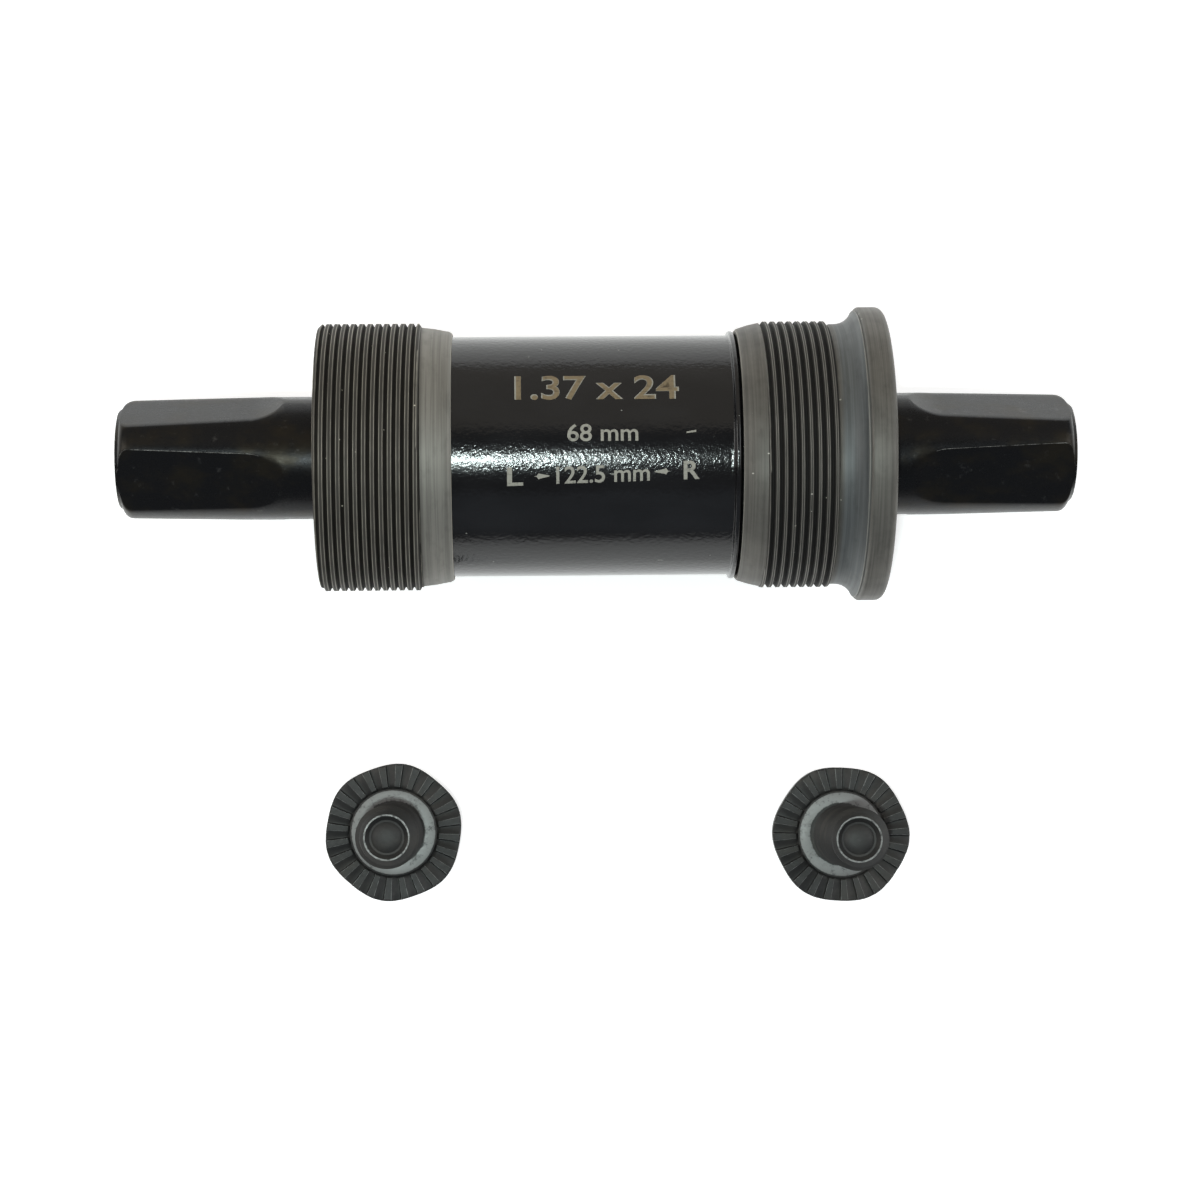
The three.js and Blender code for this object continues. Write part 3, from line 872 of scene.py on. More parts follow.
@dataclass(frozen=True)
class RightCup:
    """The drive-side cup: a left-hand thread, and a flange that a cove sweeps up to."""

    steel: bpy.types.Material
    thread: Thread = Thread(pitch=25.4 / 24, crest=17.2, root=16.70, hand=Hand.LEFT, flat=0.26)
    socket: SplineSocket = SplineSocket(depth=8.2)
    bore: float = 15.5
    floor: float = 0.5
    tip: float = 16.2  # the radius at the inner end
    land: float = 17.0
    land_end: float = 21.5
    entry_slope: float = 1.1
    thread_turns: float = 8.3
    neck: float = 16.8
    cove: float = 2.75
    cove_end: float = 112.0  # where the cove meets the flange, in degrees from straight out
    seat: float = 34.0  # the flange's inner face
    inner_round: float = 0.45
    outer_round: float = 0.95

    def build(self) -> None:
        """Makes the cup."""
        place = Envelope.of("right_cup")
        thread_end = self.land_end + self.thread_turns * self.thread.pitch
        stock = Stock().wind(self.thread, self.land_end, thread_end)
        stock.limit(lambda x: self.land + self.entry_slope * (x - self.land_end))
        near, far = self.inner_round, self.outer_round
        section = [
            (thread_end + 0.1, self.neck - 0.15), (thread_end + 0.4, self.neck),
            *arc((self.seat - self.cove, self.neck + self.cove), self.cove, 180.0, self.cove_end, 11),
            *arc((self.seat + near, place.radius - near), near, -90.0, 0.0, 5),
            *arc((place.end - far, place.radius - far), far, 0.0, 90.0, 7),
        ]
        face = stock.carry(stock.rim(thread_end), *levels(*section))
        back = place.end - self.socket.depth - self.floor
        hole = self.socket.cut(stock, place.end, back, -1, face)
        bore = stock.carry(
            hole, *levels((back, self.bore), (place.start + 0.3, self.bore), (place.start, self.bore + 0.1))
        )
        land = stock.carry(
            stock.rim(self.land_end),
            *levels(
                (self.land_end - 0.05, self.land), (self.land_end - 1.4, self.land - 0.3),
                (place.start + 0.2, self.tip + 0.05), (place.start, self.tip - 0.15),
            ),
        )
        stock.web(land + bore)
        stock.settle()
        # Worn edges; on the thread crests their brightness is also a painted highlight.
        stock.wear_sharp()
        stock.finish("right_cup", Body.CARTRIDGE, "cup_steel", self.steel)


# ---- Cartridge shell ----


@dataclass(frozen=True)
class CartridgeShell:
    """The black tube that holds both bearings, with crimped ends and a bead beside the drive-side cup."""

    coat: bpy.types.Material
    radius: float = 15.45
    bore: float = 15.02
    lip: float = 14.2
    lip_thick: float = 0.8
    bead: tuple[float, float] = (17.4, 18.3)
    bead_slope: float = 0.2  # how far along each side of the bead reaches
    near: float = 0.7  # stations this close to each corner keep the shading between them straight
    rounding: float = 0.16
    steps: int = 128

    def build(self) -> None:
        """Makes the shell."""
        place = Envelope.of("cartridge_shell")
        first, last = self.bead
        section = [
            (place.start, self.lip), (place.start, self.radius), (place.start + self.near, self.radius),
            (first - self.near, self.radius), (first, self.radius), (first + self.bead_slope, place.radius),
            (last - self.bead_slope, place.radius), (last, self.radius), (last + self.near, self.radius),
            (place.end - self.near, self.radius), (place.end, self.radius), (place.end, self.lip),
            (place.end - self.lip_thick, self.lip), (place.end - self.lip_thick, self.bore),
            (place.start + self.lip_thick, self.bore), (place.start + self.lip_thick, self.lip),
        ]
        stock = Stock().turn(section, self.steps, self.rounding)
        stock.finish("cartridge_shell", Body.CARTRIDGE, "black_coat", self.coat)


@dataclass(frozen=True)
class Lettering:
    """A line of generic marking, wrapped round the shell."""

    text: str
    centre: float  # along X
    width: float
    height: float
    angle: float  # the line's middle, in degrees from +Z towards +Y
    tilt: float = 0.0  # degrees
    swell: float = 0.0  # how much bolder each stroke is drawn, as a share of the letter size
    lift: float = 0.012
    sink: float = 0.02  # how far the mark's foot lies under the surface
    strip: float = 0.25  # the mark is cut into strips this high, so that it follows the cylinder

    def flat(self) -> bmesh.types.BMesh:
        """The text as a flat mesh, at the font's own size."""
        curve = bpy.data.curves.new(self.text, "FONT")
        curve.body = self.text
        curve.offset = self.swell
        holder = bpy.data.objects.new(self.text, curve)
        bpy.context.scene.collection.objects.link(holder)
        shape = bmesh.new()
        shape.from_mesh(holder.to_mesh())
        holder.to_mesh_clear()
        bpy.data.objects.remove(holder)
        bpy.data.curves.remove(curve)
        return shape

    def build(self, radius: float, ink: bpy.types.Material, number: int) -> None:
        """Makes the mark on a cylinder.

        Args:
            radius: the cylinder's radius.
            ink: the mark's material.
            number: tells marks apart by name.
        """
        shape = self.flat()
        xs = [v.co.x for v in shape.verts]
        ys = [v.co.y for v in shape.verts]
        middle = Vector(((min(xs) + max(xs)) / 2, (min(ys) + max(ys)) / 2, 0.0))
        bmesh.ops.translate(shape, vec=-middle, verts=shape.verts[:])
        size = Vector((self.width / (max(xs) - min(xs)), self.height / (max(ys) - min(ys)), 1.0))
        bmesh.ops.scale(shape, vec=size, verts=shape.verts[:])
        upwards = Vector((0.0, 1.0, 0.0))
        for row in range(-9, 10):
            geometry = shape.verts[:] + shape.edges[:] + shape.faces[:]
            bmesh.ops.bisect_plane(
                shape, geom=geometry, dist=0.0005, plane_co=upwards * self.strip * row, plane_no=upwards
            )
        bmesh.ops.remove_doubles(shape, verts=shape.verts[:], dist=0.001)
        raised = bmesh.ops.extrude_face_region(shape, geom=shape.faces[:])["geom"]
        top = {item for item in raised if isinstance(item, BMVert)}
        slope = math.tan(math.radians(self.tilt))
        for vert in shape.verts:
            along = self.centre + vert.co.x
            angle = math.radians(self.angle) + (vert.co.y + slope * vert.co.x) / radius
            vert.co = polar(along, radius + (self.lift if vert in top else -self.sink), angle)
        Stock(shape).finish(f"shell_mark_{number}", Body.CARTRIDGE, "black_coat", ink, replaces=False)


@dataclass(frozen=True)
class Arrow(Lettering):
    """A thin line, which has an arrow's head at one end unless head is False."""

    head: bool = True
    facing: Side = Side.LEFT

    def flat(self) -> bmesh.types.BMesh:
        """The arrow as a flat mesh."""
        barbs = [(-0.42, 0.66), (-0.22, 0.50), (-0.66, 0.10)] if self.head else [(-1.0, 0.08)]
        upper = [(-1.0, 0.0), *barbs, (1.0, 0.10)]
        points = upper + [(x, -y) for x, y in reversed(upper) if y]
        shape = bmesh.new()
        corners = [shape.verts.new((-self.facing.value * x, y, 0.0)) for x, y in points]
        bmesh.ops.contextual_create(shape, geom=corners)
        bmesh.ops.triangulate(shape, faces=shape.faces[:])
        return shape


@dataclass(frozen=True)
class Markings:
    """The sizes marked on the shell."""

    gold: bpy.types.Material
    pale: bpy.types.Material
    gold_line: int = 2  # the one gold line lies over a bolder pale one, which rims it
    tilt: float = 1.6  # how far the lowest row leans, in degrees

    def build(self, radius: float) -> None:
        """Makes every mark on a shell of the given radius."""
        title = {"text": "1.37 x 24", "centre": 0.35, "height": 3.65, "angle": 28.0}
        small = {"centre": 1.0, "height": 2.2, "swell": 0.012}
        letter = {"width": 2.0, "height": 2.35, "swell": 0.02, "tilt": self.tilt}
        lines = [
            Lettering(width=20.5, swell=0.022, lift=0.010, **title),
            Lettering(width=20.1, swell=0.004, lift=0.020, **title),
            Lettering("68 mm", width=8.8, angle=5.2, **small),
            Lettering("L", centre=-9.9, angle=-14.9, **letter),
            Lettering("122.5 mm", width=11.6, angle=-13.9, tilt=self.tilt, **small),
            Lettering("R", centre=12.0, angle=-12.4, **letter),
            Arrow("left", centre=-6.6, width=1.9, height=0.8, angle=-14.8, tilt=self.tilt),
            Arrow("right", centre=8.4, width=2.0, height=0.8, angle=-13.0, tilt=self.tilt, facing=Side.RIGHT),
            Arrow("dash", centre=12.0, width=1.2, height=0.25, angle=5.3, tilt=8.0, head=False),
        ]
        for number, line in enumerate(lines, start=1):
            line.build(radius, self.gold if number == self.gold_line else self.pale, number)


# ---- Spindle ----


@dataclass(frozen=True)
class Spindle:
    """The axle: a square taper at each end with a tapped hole, and two journals on a thicker barrel."""

    steel: bpy.types.Material
    turn: float = 15.0  # how far a corner stands from +Z towards +Y, in degrees
    shaft: float = 7.9
    tip: float = 6.25
    tip_length: float = 1.8
    half_width: float = 6.35
    taper: float = 2.0
    taper_length: float = 16.5
    runout: float = 5.0
    journal: float = 8.48
    barrel: float = 9.6
    mouth: float = 4.3
    tapped: float = 20.0
    drilled: float = 25.0
    thread: Thread = Thread(pitch=1.0, crest=4.0, root=3.45, steps=64)
    edge: float = 1.3  # half the width of the rounded edge of a flat, in degrees
    ease: float = 0.045
    slimming: float = 0.22  # how much less the corners' radius is at the spindle's end
    nose: float = 1.55  # the radius of the rounded nose
    least_reach: float = 5.0  # a flat's columns reach at least this far from its middle, in degrees
    flat_steps: int = 14
    corner_steps: int = 8
    runout_steps: int = 14
    barrel_depth: float = 99.0  # stands for the depth of the barrel and journals, past every taper
    shaded_edge_wear: float = 0.35  # painted shade: the second of a corner's two edges, away from the light, gets only this share of the wear and its painted highlight

    def flat_height(self, depth: float) -> float:
        """How far a flat lies from the axis, at a depth from the spindle's end."""
        slope = math.tan(math.radians(self.taper))
        foot = self.half_width + slope * self.taper_length
        if depth <= self.taper_length:
            return self.half_width + slope * depth
        share = min((depth - self.taper_length) / self.runout, 1.0)
        return foot + (self.shaft + 0.1 - foot) * share**2

    def turned(self, depth: float) -> float:
        """The turned radius of a corner, which grows from the spindle's end to the taper's foot."""
        return self.shaft - self.slimming * max(0.0, 1.0 - depth / self.taper_length)

    def shares(self) -> list[tuple[int, float]]:
        """The columns of one quarter: (0, share of the flat from its middle) or (1, share of the corner's arc)."""
        flat = [(0, -1.0 + 2 * i / self.flat_steps) for i in range(self.flat_steps + 1)]
        corner = [(1, i / self.corner_steps) for i in range(self.corner_steps + 1)]
        return flat + corner

    def place(self, along: float, radius: float, depth: float, number: int) -> Vector:
        """A point of the surface.

        Args:
            along: its place on the axis.
            radius: the turned radius there.
            depth: the distance from the nearer end.
            number: the column's number.

        Returns:
            The point.
        """
        columns = self.shares()
        quarter, index = divmod(number, len(columns))
        kind, share = columns[index]
        height = self.flat_height(depth)
        limit = math.degrees(math.acos(height / radius)) if height < radius else 0.0
        gap = math.radians(self.edge)
        start = math.radians(max(limit, self.least_reach))
        end = math.pi / 2 - start
        step = 1 / self.corner_steps
        if kind == 0:
            offset = share * (start - gap)
        elif 0.0 < share < 1.0:
            offset = start + gap + (end - start - 2 * gap) * (share - step) / (1 - 2 * step)
        else:
            offset = start + (end - start) * share
        angle = math.radians(self.turn + 45.0 + 90.0 * quarter) + offset
        from_flat = offset if abs(offset) < math.pi / 4 else math.pi / 2 - offset
        here = min(radius, height / math.cos(from_flat))
        if kind == 1 and share in (0.0, 1.0) and limit > self.least_reach:
            here -= self.ease
        return polar(along, here, angle)

    def profile(self, start: float, end: float) -> list[tuple[float, float, float]]:
        """Every station, as (along, turned radius, depth from the nearer end)."""
        nose = arc((self.tip_length, self.turned(self.tip_length) - self.nose), self.nose, -90.0, 0.0, 6)
        tip = [(0.0, self.tip)] + [(0.15 + 0.92 * along, radius) for along, radius in nose[1:]]
        depths = [*range(3, 16, 3), self.taper_length]
        depths += [self.taper_length + self.runout * i / self.runout_steps for i in range(1, self.runout_steps + 1)]
        left = Envelope.of("left_inner_race")
        right = Envelope.of("right_inner_race")
        ends = tip + [(depth, self.turned(depth)) for depth in depths]
        middle = [
            (left.start, self.shaft), (left.start + 0.4, self.journal), (left.end + 0.1, self.journal),
            (left.end + 0.12, self.barrel - 0.2), (left.end + 0.35, self.barrel),
            (right.start - 0.35, self.barrel), (right.start - 0.12, self.barrel - 0.2),
            (right.start - 0.1, self.journal), (right.end - 0.4, self.journal), (right.end, self.shaft),
        ]
        stations = [(start + along, radius, along) for along, radius in ends]
        stations += [(along, radius, self.barrel_depth) for along, radius in middle]
        return stations + [(end - along, radius, along) for along, radius in reversed(ends)]

    def tap(self, stock: Stock, face: float, inward: int, rim: list[BMEdge]) -> None:
        """Sinks a tapped hole into an end.

        Args:
            stock: the spindle.
            face: the end's place along the axis.
            inward: 1 when the hole runs towards +X, and -1 when it runs the other way.
            rim: the end's outer edge.
        """
        first = face + inward * (self.mouth - self.thread.crest)
        last = face + inward * self.tapped
        mouth = stock.circle(face, self.mouth, self.thread.steps)
        stock.web(rim + mouth)
        ledge = stock.carry(mouth, level(first, self.thread.crest + 0.03))
        stock.wind(self.thread, min(first, last), max(first, last))
        stock.web(ledge + stock.rim_within(first, self.thread.crest + 0.01))
        deep = [(last + inward * 0.1, self.thread.root), (face + inward * self.drilled, self.thread.root)]
        end = stock.carry(
            stock.rim_within(last, self.thread.crest + 0.01),
            *levels(*deep, (face + inward * (self.drilled + 1.6), 0.3)),
        )
        stock.cap(end)

    def build(self) -> None:
        """Makes the spindle."""
        place = Envelope.of("spindle")
        stations = self.profile(place.start, place.end)
        count = 4 * len(self.shares())
        stock = Stock()
        first = stock.outline(place.start, [math.tau * i / count for i in range(count)], lambda angle: self.tip)
        stock.place_rim(first, lambda vert: self.place(*stations[0], stock.column(vert)))

        def station(along: float, radius: float, depth: float) -> Placing:
            return lambda vert: self.place(along, radius, depth, stock.column(vert))

        last = stock.carry(first, *(station(*values) for values in stations[1:]))
        columns = self.shares()
        # The taper corners' edges are marked as wear: worn edges, and a painted highlight where they catch the
        # light.
        edges = [number for number, (kind, share) in enumerate(columns) if kind == 1 and share in (0.0, 1.0)]
        worn = [
            vert for vert in stock.mesh.verts
            if stock.column(vert) % len(columns) in edges
            and min(vert.co.x - place.start, place.end - vert.co.x) < self.taper_length + 0.4 * self.runout
        ]
        stock.mark("wear", worn)
        # Painted shade: the second edge of each corner, away from the light, gets less.
        second = [vert for vert in worn if stock.column(vert) % len(columns) == edges[1]]
        stock.mark("wear", second, self.shaded_edge_wear)
        self.tap(stock, place.start, 1, first)
        self.tap(stock, place.end, -1, last)
        stock.finish("spindle", Body.SPINDLE, "spindle_steel", self.steel)


# ---- Crank bolts ----


@dataclass(frozen=True)
class CrankBolt:
    """An M8 x 1 bolt with a ratchet-toothed flange and a hexagon head, standing on its head."""

    side: Side
    azimuth: float  # where the hexagon's first corner points, in degrees from +X towards +Y
    steel: bpy.types.Material
    teeth: int = 24
    tooth_depth: float = 0.4
    phases: tuple[float, ...] = (0.0, 0.2, 0.40, 0.44, 0.48, 0.80, 0.84, 0.88, 0.93)  # a tooth's columns
    crests: tuple[int, int] = (3, 6)  # the columns of a tooth's two worn edges
    length: float = 20.0
    head: float = 7.55
    flange_thick: float = 2.2
    flange: float = 8.98
    wave: float = 0.15
    half_flats: float = 7.0
    corners: float = 7.98  # the hexagon's largest radius
    pad: float = 4.3
    pad_width: float = 1.4  # of the ring round the shank that has rubbed bright
    worn: float = 1.1  # above 1, so that the finish's noise leaves less of it dark
    smooth: float = 5.73
    thread: Thread = Thread(pitch=1.0, crest=4.0, root=3.45, steps=64)
    neck: float = 3.4

    def angles(self) -> list[float]:
        """The columns' angles about the bolt's own axis before it is stood up."""
        turn = math.pi - math.radians(self.azimuth)
        steps = (tooth + phase for tooth in range(self.teeth) for phase in self.phases)
        return [turn + step * math.tau / self.teeth for step in steps]

    def rise(self, phase: float) -> float:
        """A tooth's height above its foot, from 0 to 1."""
        if phase <= self.phases[3]:
            return phase / self.phases[3]
        return max(0.0, min(1.0, (self.phases[-1] - phase) / (self.phases[-1] - self.phases[-3])))

    def corner(self, angle: float) -> float:
        """How far a direction is from the nearest corner of the hexagon, in radians."""
        from_corner = (angle - self.angles()[0]) % (math.pi / 3)
        return min(from_corner, math.pi / 3 - from_corner)

    def toothed(self, stock: Stock, radius: float, floor: float, share: float, scallop: float = 0.0) -> Placing:
        """A ring of the teeth.

        Args:
            stock: the bolt.
            radius: the ring's radius, which waves with the hexagon when it is near the rim.
            floor: the height of the teeth's feet.
            share: how much of the teeth's height the ring has.
            scallop: how much further out the ring reaches at the feet.

        Returns:
            The ring's placing.
        """
        def station(vert: BMVert) -> Vector:
            phase = self.phases[stock.column(vert) % len(self.phases)]
            angle = angle_of(vert.co)
            rise = self.rise(phase)
            wave = self.wave * math.cos(6 * self.corner(angle)) * max(0.0, (radius - 7.0) / 2.0)
            height = floor + share * rise * self.tooth_depth
            return polar(height, radius + wave + scallop * (1.0 - rise), angle)

        return station

    def hexagon(self, along: float, most: float) -> Placing:
        """A ring of the head's outline, cut to a largest radius."""
        def station(vert: BMVert) -> Vector:
            angle = angle_of(vert.co)
            flat = math.pi / 6 - self.corner(angle)
            return polar(along, min(self.half_flats / math.cos(flat), most), angle)

        return station

    def rim_wave(self, along: float, radius: float) -> Placing:
        """A ring of the flange's edge, which stands proud over each corner."""
        def station(vert: BMVert) -> Vector:
            angle = angle_of(vert.co)
            return polar(along, radius + self.wave * math.cos(6 * self.corner(angle)), angle)

        return station

    def tip(self, stock: Stock, top: float) -> None:
        """Closes the shank's end with a chamfered ring round a rough dish."""
        dish = [(top, 2.95), (self.length - 0.02, 2.9), (self.length - 0.02, 2.72), (self.length - 0.25, 2.5)]
        dish += [(self.length - 0.62, 2.2), (self.length - 0.66, 1.95), (self.length - 0.40, 1.5)]
        rim = stock.carry(stock.rim(top), *levels(*dish, (self.length - 0.26, 0.9), (self.length - 0.22, 0.3)))
        stock.cap(rim)
        # The chamfered ring is marked as wear: worn bright, and a painted highlight.
        ring = [v for v in stock.mesh.verts if v.co.x > self.length - 0.1 and radius_of(v.co) > 2.6]
        stock.mark("wear", ring)

    def build(self) -> None:
        """Makes the bolt."""
        node = f"{self.side.word}_crank_bolt"
        low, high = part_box(node)
        where = (low + high) / 2 / MM
        top = self.length - 0.12
        stock = Stock().wind(self.thread, 1.6, top)
        stock.limit(lambda x: min(2.85 + 0.95 * (self.length - x), self.neck + 0.9 * (x - 1.5)))
        self.tip(stock, top)
        neck = stock.carry(stock.rim(1.6), *levels((1.4, self.neck), (0.3, self.neck), (0.1, 3.5), (0.0, 3.75)))
        outline = stock.outline(0.0, self.angles(), lambda angle: self.pad)
        stock.web(neck + outline)
        foot = -self.tooth_depth
        bottom = -self.flange_thick
        rings = [
            level(-0.02, self.smooth - 0.25), level(-0.1, self.smooth),
            self.toothed(stock, self.smooth + 0.05, foot - 0.06, 0.35, 0.25),
            self.toothed(stock, self.smooth + 0.32, foot, 0.9, 0.2), self.toothed(stock, 6.4, foot, 1.0),
            self.toothed(stock, 7.6, foot, 1.0), self.toothed(stock, self.flange - 0.22, foot, 0.96),
            self.toothed(stock, self.flange, foot - 0.06, 0.6), self.rim_wave(-0.62, self.flange),
            self.rim_wave(bottom + 0.6, self.flange), self.rim_wave(bottom + 0.2, self.flange - 0.25),
            self.rim_wave(bottom, self.flange - 0.6), self.hexagon(bottom - 0.02, self.corners),
            self.hexagon(0.5 - self.head, self.corners), self.hexagon(0.2 - self.head, 7.7),
            self.hexagon(-self.head, 7.15), level(-self.head, 5.2), level(0.35 - self.head, 4.9),
        ]
        stock.cap(stock.carry(outline, *rings))
        crests = [
            vert for vert in stock.mesh.verts
            if self.smooth + 0.2 < radius_of(vert.co) and vert.co.x > -0.6
            and stock.column(vert) % len(self.phases) in self.crests
        ]
        pad = [
            vert for vert in stock.mesh.verts
            if abs(vert.co.x) < 0.12 and -0.05 < radius_of(vert.co) - self.pad < self.pad_width
        ]
        stock.mark("wear", crests + pad, self.worn)
        upright = Matrix.Rotation(-math.pi / 2, 4, "Y")
        stand = Matrix.Translation((where.x, where.y, high.z / MM - self.length)) @ upright
        body = Body.LEFT_BOLT if self.side is Side.LEFT else Body.RIGHT_BOLT
        stock.finish(node, body, "bolt_steel", self.steel, stand)


# ---- Bearings ----


@dataclass(frozen=True)
class BearingSteels:
    """The finishes of a bearing's pieces."""

    race: bpy.types.Material
    ball: bpy.types.Material
    cage: bpy.types.Material
    rubber: bpy.types.Material


@dataclass(frozen=True)
class Bearing:
    """A sealed 17 x 30 x 7 ball bearing."""

    side: Side
    steels: BearingSteels
    bore: float = 8.5
    outside: float = 15.0
    chamfer: float = 0.25
    clearance: float = 0.02  # between a ball and its groove
    groove_steps: int = 14
    balls: int = 11
    ball: float = 3.969 / 2
    ball_circle: float = 11.75
    groove: float = 2.06
    inner_shoulder: float = 10.55
    outer_shoulder: float = 12.95
    cage: tuple[float, float] = (11.05, 12.45)
    cage_thick: float = 0.3
    cage_steps: int = 264
    bulge: float = 2.0  # the most that a ribbon stands off its middle
    rivet: float = 0.4
    rivet_length: float = 0.9
    shield: tuple[float, float] = (10.7, 12.9)
    moulded: float = 0.04

    def middle(self) -> float:
        """The bearing's place along the axis."""
        place = Envelope.of(f"{self.side.word}_outer_race")
        return (place.start + place.end) / 2

    def race(self, inner: bool) -> None:
        """Makes one race."""
        node = f"{self.side.word}_{'inner' if inner else 'outer'}_race"
        place = Envelope.of(node)
        x = self.middle()
        if inner:
            centre = self.ball_circle - self.ball - self.clearance + self.groove
            spread = math.degrees(math.acos((centre - self.inner_shoulder) / self.groove))
            ends = (180 + spread, 180 - spread)
            shoulder, back, lean = self.inner_shoulder, self.bore, -self.chamfer
        else:
            centre = self.ball_circle + self.ball + self.clearance - self.groove
            spread = math.degrees(math.acos((self.outer_shoulder - centre) / self.groove))
            ends = (-spread, spread)
            shoulder, back, lean = self.outer_shoulder, self.outside, self.chamfer
        section = [
            (place.start + self.chamfer, back), (place.start, back - lean), (place.start, shoulder),
            *arc((x, centre), self.groove, *ends, self.groove_steps),
            (place.end, shoulder), (place.end, back - lean), (place.end - self.chamfer, back),
        ]
        Stock().turn(section).finish(node, self.body(inner), "race_steel", self.steels.race)

    def body(self, inner: bool) -> Body:
        """The body that a race turns with."""
        return Body.SPINDLE if inner else Body.CARTRIDGE

    def rolling(self) -> Body:
        """The body of the balls and their cage."""
        return Body.LEFT_BALLS if self.side is Side.LEFT else Body.RIGHT_BALLS

    def ball_cage(self) -> None:
        """Makes the pressed cage: two waved ribbons that meet between the balls, where they are riveted."""
        x = self.middle()
        stock = Stock()
        inner, outer = self.cage
        seat = self.ball + 0.05
        for hand in (-1, 1):
            older = set(stock.mesh.verts)
            near, far = 0.02 * hand, (0.02 + self.cage_thick) * hand
            stock.turn([(near, inner), (far, inner), (far, outer), (near, outer)], self.cage_steps)
            for vert in stock.since(older):
                angle = math.atan2(-vert.co.z, vert.co.y)  # from +Y, the way the balls are numbered
                step = math.tau / self.balls
                off = abs((angle / step + 0.5) % 1.0 - 0.5) * step * self.ball_circle
                bulge = math.sqrt(max(seat**2 - off**2, 0.0)) if off < seat else 0.0
                vert.co.x += x + hand * min(bulge, self.bulge)
        for gap in range(self.balls):
            angle = (gap + 0.5) * math.tau / self.balls
            spot = Matrix.Rotation(angle, 4, "X") @ Matrix.Translation((x, self.ball_circle, 0.0))
            rivet = spot @ Matrix.Rotation(math.pi / 2, 4, "Y")
            bmesh.ops.create_cone(
                stock.mesh, cap_ends=True, segments=16, radius1=self.rivet, radius2=self.rivet,
                depth=self.rivet_length, matrix=rivet,
            )
        stock.finish(f"{self.side.word}_ball_cage", self.rolling(), "cage_steel", self.steels.cage)

    def ball_pieces(self) -> None:
        """Makes each ball."""
        for number in range(self.balls):
            angle = number * math.tau / self.balls
            stock = Stock()
            place = Matrix.Rotation(angle, 4, "X") @ Matrix.Translation((self.middle(), self.ball_circle, 0.0))
            bmesh.ops.create_icosphere(stock.mesh, subdivisions=4, radius=self.ball, matrix=place)
            stock.finish(f"{self.side.word}_ball_{number + 1:02d}", self.rolling(), "ball_steel", self.steels.ball)

    def shields(self) -> None:
        """Makes the two contact seals, each with a moulded bead and a lip."""
        inner, outer = self.shield
        for word in ("outboard", "inboard"):
            node = f"{self.side.word}_shield_{word}"
            place = Envelope.of(node)
            outward = self.side.value if word == "outboard" else -self.side.value
            face, back = (place.start, place.end) if outward < 0 else (place.end, place.start)
            sunk = face - outward * 0.2
            section = [
                (back, inner), (face, inner + 0.1), (face, inner + 0.55), (sunk, inner + 0.7), (sunk, outer - 0.5),
                (face, outer - 0.35), (face, outer - 0.05), (back, outer),
            ]
            stock = Stock().turn(section, rounding=self.moulded)
            stock.finish(node, Body.CARTRIDGE, "shield_rubber", self.steels.rubber)

    def build(self) -> None:
        """Makes the bearing."""
        self.race(inner=True)
        self.race(inner=False)
        self.ball_cage()
        self.ball_pieces()
        self.shields()


@dataclass(frozen=True)
class DustSeal:
    """The stepped rubber disc that closes one end of the shell round the spindle."""

    side: Side
    rubber: bpy.types.Material
    bore: float = 8.15
    radius: float = 14.0
    step: float = 12.4
    step_height: float = 0.3
    furrow: tuple[float, ...] = (10.4, 10.1, 9.3, 8.9)  # the radii of the furrow in the face, from outside in
    furrow_depth: float = 0.15
    rounding: float = 0.07

    def build(self) -> None:
        """Makes the seal."""
        node = f"{self.side.word}_dust_seal"
        place = Envelope.of(node)
        out = self.side.value
        inner, face = (place.end, place.start) if out < 0 else (place.start, place.end)
        rim = face - self.step_height * out
        bed = rim - self.furrow_depth * out
        section = [
            (inner, self.bore + 0.3), (inner, self.radius), (rim, self.radius), (rim, self.step + 0.1),
            (face, self.step - 0.2), *zip((face, bed, bed, face), self.furrow), (face, self.bore), (rim, self.bore),
        ]
        Stock().turn(section, rounding=self.rounding).finish(node, Body.CARTRIDGE, "seal_rubber", self.rubber)


@dataclass(frozen=True)
class OuterSpacer:
    """The tube that keeps the outer races apart."""

    steel: bpy.types.Material
    bore: float = 14.0
    radius: float = 15.0
    rounding: float = 0.15

    def build(self) -> None:
        """Makes the spacer."""
        place = Envelope.of("outer_spacer")
        start, end = place.start, place.end
        section = [(start, self.bore), (start, self.radius), (end, self.radius), (end, self.bore)]
        stock = Stock().turn(section, rounding=self.rounding)
        stock.finish("outer_spacer", Body.CARTRIDGE, "spacer_steel", self.steel)


# ---- Studio ----


@dataclass(frozen=True)
class Softbox:
    """A soft area light that points at the unit."""

    name: str
    place: Colour  # in metres
    size: tuple[float, float]
    power: float
    tint: Colour = (1.0, 1.0, 1.0)

    def build(self) -> None:
        """Makes the light."""
        lamp = bpy.data.lights.new(self.name, "AREA")
        lamp.shape = "RECTANGLE"
        lamp.size, lamp.size_y = self.size
        lamp.energy = self.power
        lamp.color = self.tint
        holder = bpy.data.objects.new(self.name, lamp)
        holder.location = self.place
        holder.rotation_euler = Vector(self.place).to_track_quat("Z", "Y").to_euler()
        bpy.context.scene.collection.objects.link(holder)


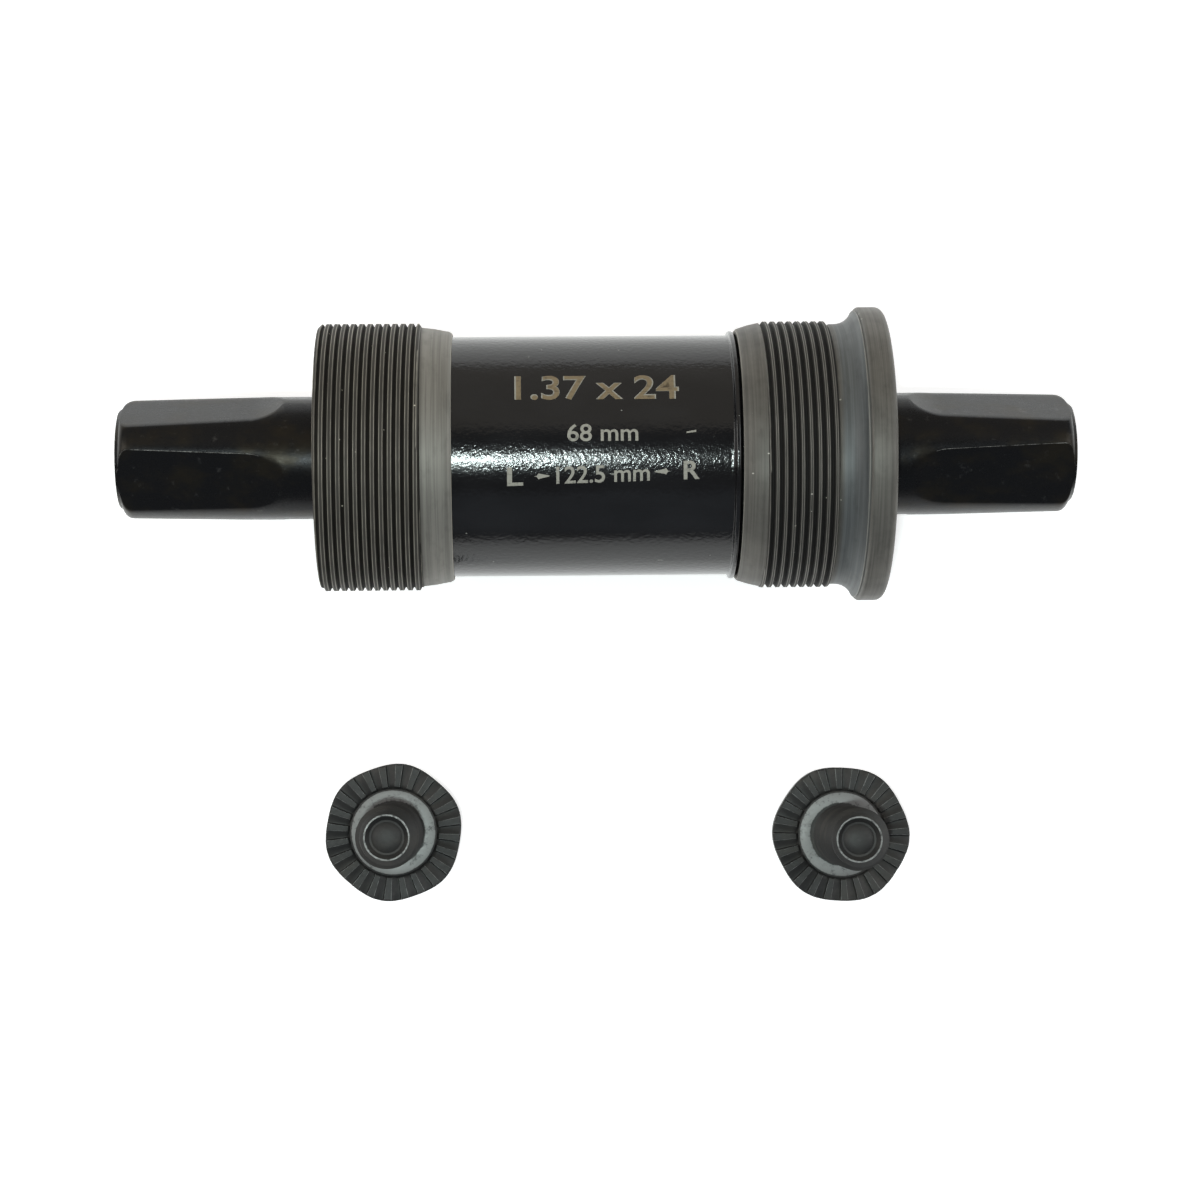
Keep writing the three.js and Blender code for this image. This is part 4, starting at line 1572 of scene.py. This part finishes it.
@dataclass(frozen=True)
class Studio:
    """The floor, the lights and the camera."""

    floor_size: float = 1.6
    camera: Colour = (-0.0099, -0.03643, 0.365)
    target: Colour = (0.0009, -0.01864, 0.0)
    roll: float = 0.59  # degrees: the spindle rises a little to the right
    lens: float = 85.05
    room: Colour = (0.125, 0.125, 0.132)  # the light that comes from everywhere
    lights: tuple[Softbox, ...] = (
        Softbox("left softbox", (-0.42, 0.05, 0.34), (0.30, 0.50), 1.2, (1.0, 0.98, 0.95)),
        Softbox("right softbox", (0.42, 0.05, 0.34), (0.30, 0.50), 1.1, (0.95, 0.98, 1.0)),
        Softbox("warm card", (0.0, 0.50, 0.36), (1.20, 0.85), 1.35, (1.0, 0.91, 0.76)),
        Softbox("cool card", (0.0, -0.55, 0.30), (1.20, 0.50), 0.32, (0.75, 0.88, 1.0)),
        Softbox("small flash", (-0.024, -0.060, 0.40), (0.014, 0.010), 0.55, (0.86, 1.0, 0.98)),
    )

    def floor(self) -> None:
        """Makes the pale floor, which glows a little so that it stays even."""
        shader = Shader("pale floor", Roughness=0.6, Emission_Strength=0.62, Specular_IOR_Level=0.2)
        shade = shader.noise(shader.stretched(0.004, 0.004), 2.0, 0.5)
        shader.drive("Base Color", shader.mix(shade, (0.80, 0.80, 0.80), (0.84, 0.84, 0.835)))
        shader.drive("Emission Color", shader.mix(shade, (0.97, 0.97, 0.97), (1.0, 1.0, 0.995)))
        shape = bmesh.new()
        low = min(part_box(node)[0].z for node in ("right_cup", "left_crank_bolt", "right_crank_bolt"))
        bmesh.ops.create_grid(
            shape, x_segments=8, y_segments=8, size=self.floor_size, matrix=Matrix.Translation((0.0, 0.0, low))
        )
        floor = to_object("floor", shape, shader.material)

    def place_camera(self) -> None:
        """Puts the camera above the unit, looking down."""
        lens = bpy.data.cameras.new("camera")
        lens.lens = self.lens
        lens.sensor_width = 36.0
        camera = bpy.data.objects.new("camera", lens)
        back = (Vector(self.camera) - Vector(self.target)).normalized()
        tilt = math.radians(self.roll)
        right = Vector((math.sin(tilt), math.cos(tilt), 0.0)).cross(back).normalized()
        frame_axes = Matrix((right, back.cross(right), back)).transposed().to_4x4()
        camera.matrix_world = Matrix.Translation(self.camera) @ frame_axes
        bpy.context.scene.collection.objects.link(camera)
        bpy.context.scene.camera = camera

    def build(self) -> None:
        """Sets the studio up."""
        scene = bpy.context.scene
        scene.view_settings.view_transform = "Standard"
        world = bpy.data.worlds.new("dim room")
        world.use_nodes = True
        world.node_tree.nodes["Background"].inputs["Color"].default_value = (*self.room, 1.0)
        scene.world = world
        self.floor()
        for light in self.lights:
            light.build()
        self.place_camera()


# ---- The whole part ----


@dataclass(frozen=True)
class BottomBracket:
    """Every piece of the unit, with its finishes."""

    azimuths: tuple[tuple[Side, float], ...] = ((Side.LEFT, 19.3), (Side.RIGHT, -3.6))  # of the bolts' hexagons

    def build(self) -> None:
        """Makes the pieces, from the outside in."""
        left_steel = TurnedSteel(
            "left cup steel", base=(0.125, 0.116, 0.100), bright=(0.58, 0.54, 0.45), dark=(0.016, 0.014, 0.011),
            tint=(0.250, 0.240, 0.214), tinted=(-21.6, -17.0),
        )
        right_steel = TurnedSteel(
            "drive cup steel", base=(0.145, 0.137, 0.122), bright=(0.46, 0.44, 0.39), dark=(0.016, 0.015, 0.014),
            tint=(0.120, 0.131, 0.135), tinted=(30.8, 33.9), roughness=0.50,
        )
        shell = CartridgeShell(BlackCoat().build())
        shell.build()
        gold = EtchedMark("gold mark", base=(0.200, 0.152, 0.088), shade=(0.080, 0.063, 0.042)).build()
        pale = EtchedMark("pale mark", base=(0.30, 0.29, 0.25), shade=(0.12, 0.115, 0.10)).build()
        Markings(gold, pale).build(shell.radius)
        LeftCup(left_steel.build()).build()
        RightCup(right_steel.build()).build()
        spacer_steel = TurnedSteel(
            "spacer steel", base=(0.40, 0.40, 0.40), bright=(0.70, 0.70, 0.70), dark=(0.20, 0.20, 0.20),
            tint=(0.40, 0.38, 0.35),
        )
        OuterSpacer(spacer_steel.build()).build()
        Spindle(BlackOxide("spindle oxide").build()).build()
        steels = BearingSteels(
            race=BearingSteel("race steel").build(),
            ball=BearingSteel("ball steel", (0.68, 0.69, 0.70), roughness=0.08, rings_per_mm=1.0).build(),
            cage=BearingSteel("cage steel", (0.50, 0.46, 0.38), roughness=0.38, rings_per_mm=2.0).build(),
            rubber=MouldedRubber("seal skin").build(),
        )
        bolt_steel = BlackOxide(
            "bolt steel", base=(0.046, 0.046, 0.045), worn=(0.20, 0.20, 0.195), brown=(0.062, 0.060, 0.056),
            roughness=0.56,
        ).build()
        for side, azimuth in self.azimuths:
            Bearing(side, steels).build()
            DustSeal(side, MouldedRubber(f"{side.word} dust seal rubber").build()).build()
            CrankBolt(side, azimuth, bolt_steel).build()


def main() -> None:
    """Builds everything."""
    logging.basicConfig(level=logging.INFO, format="%(relativeCreated)6.0f ms %(name)s: %(message)s")
    Studio().build()
    BottomBracket().build()


if __name__ == "__main__":
    main()
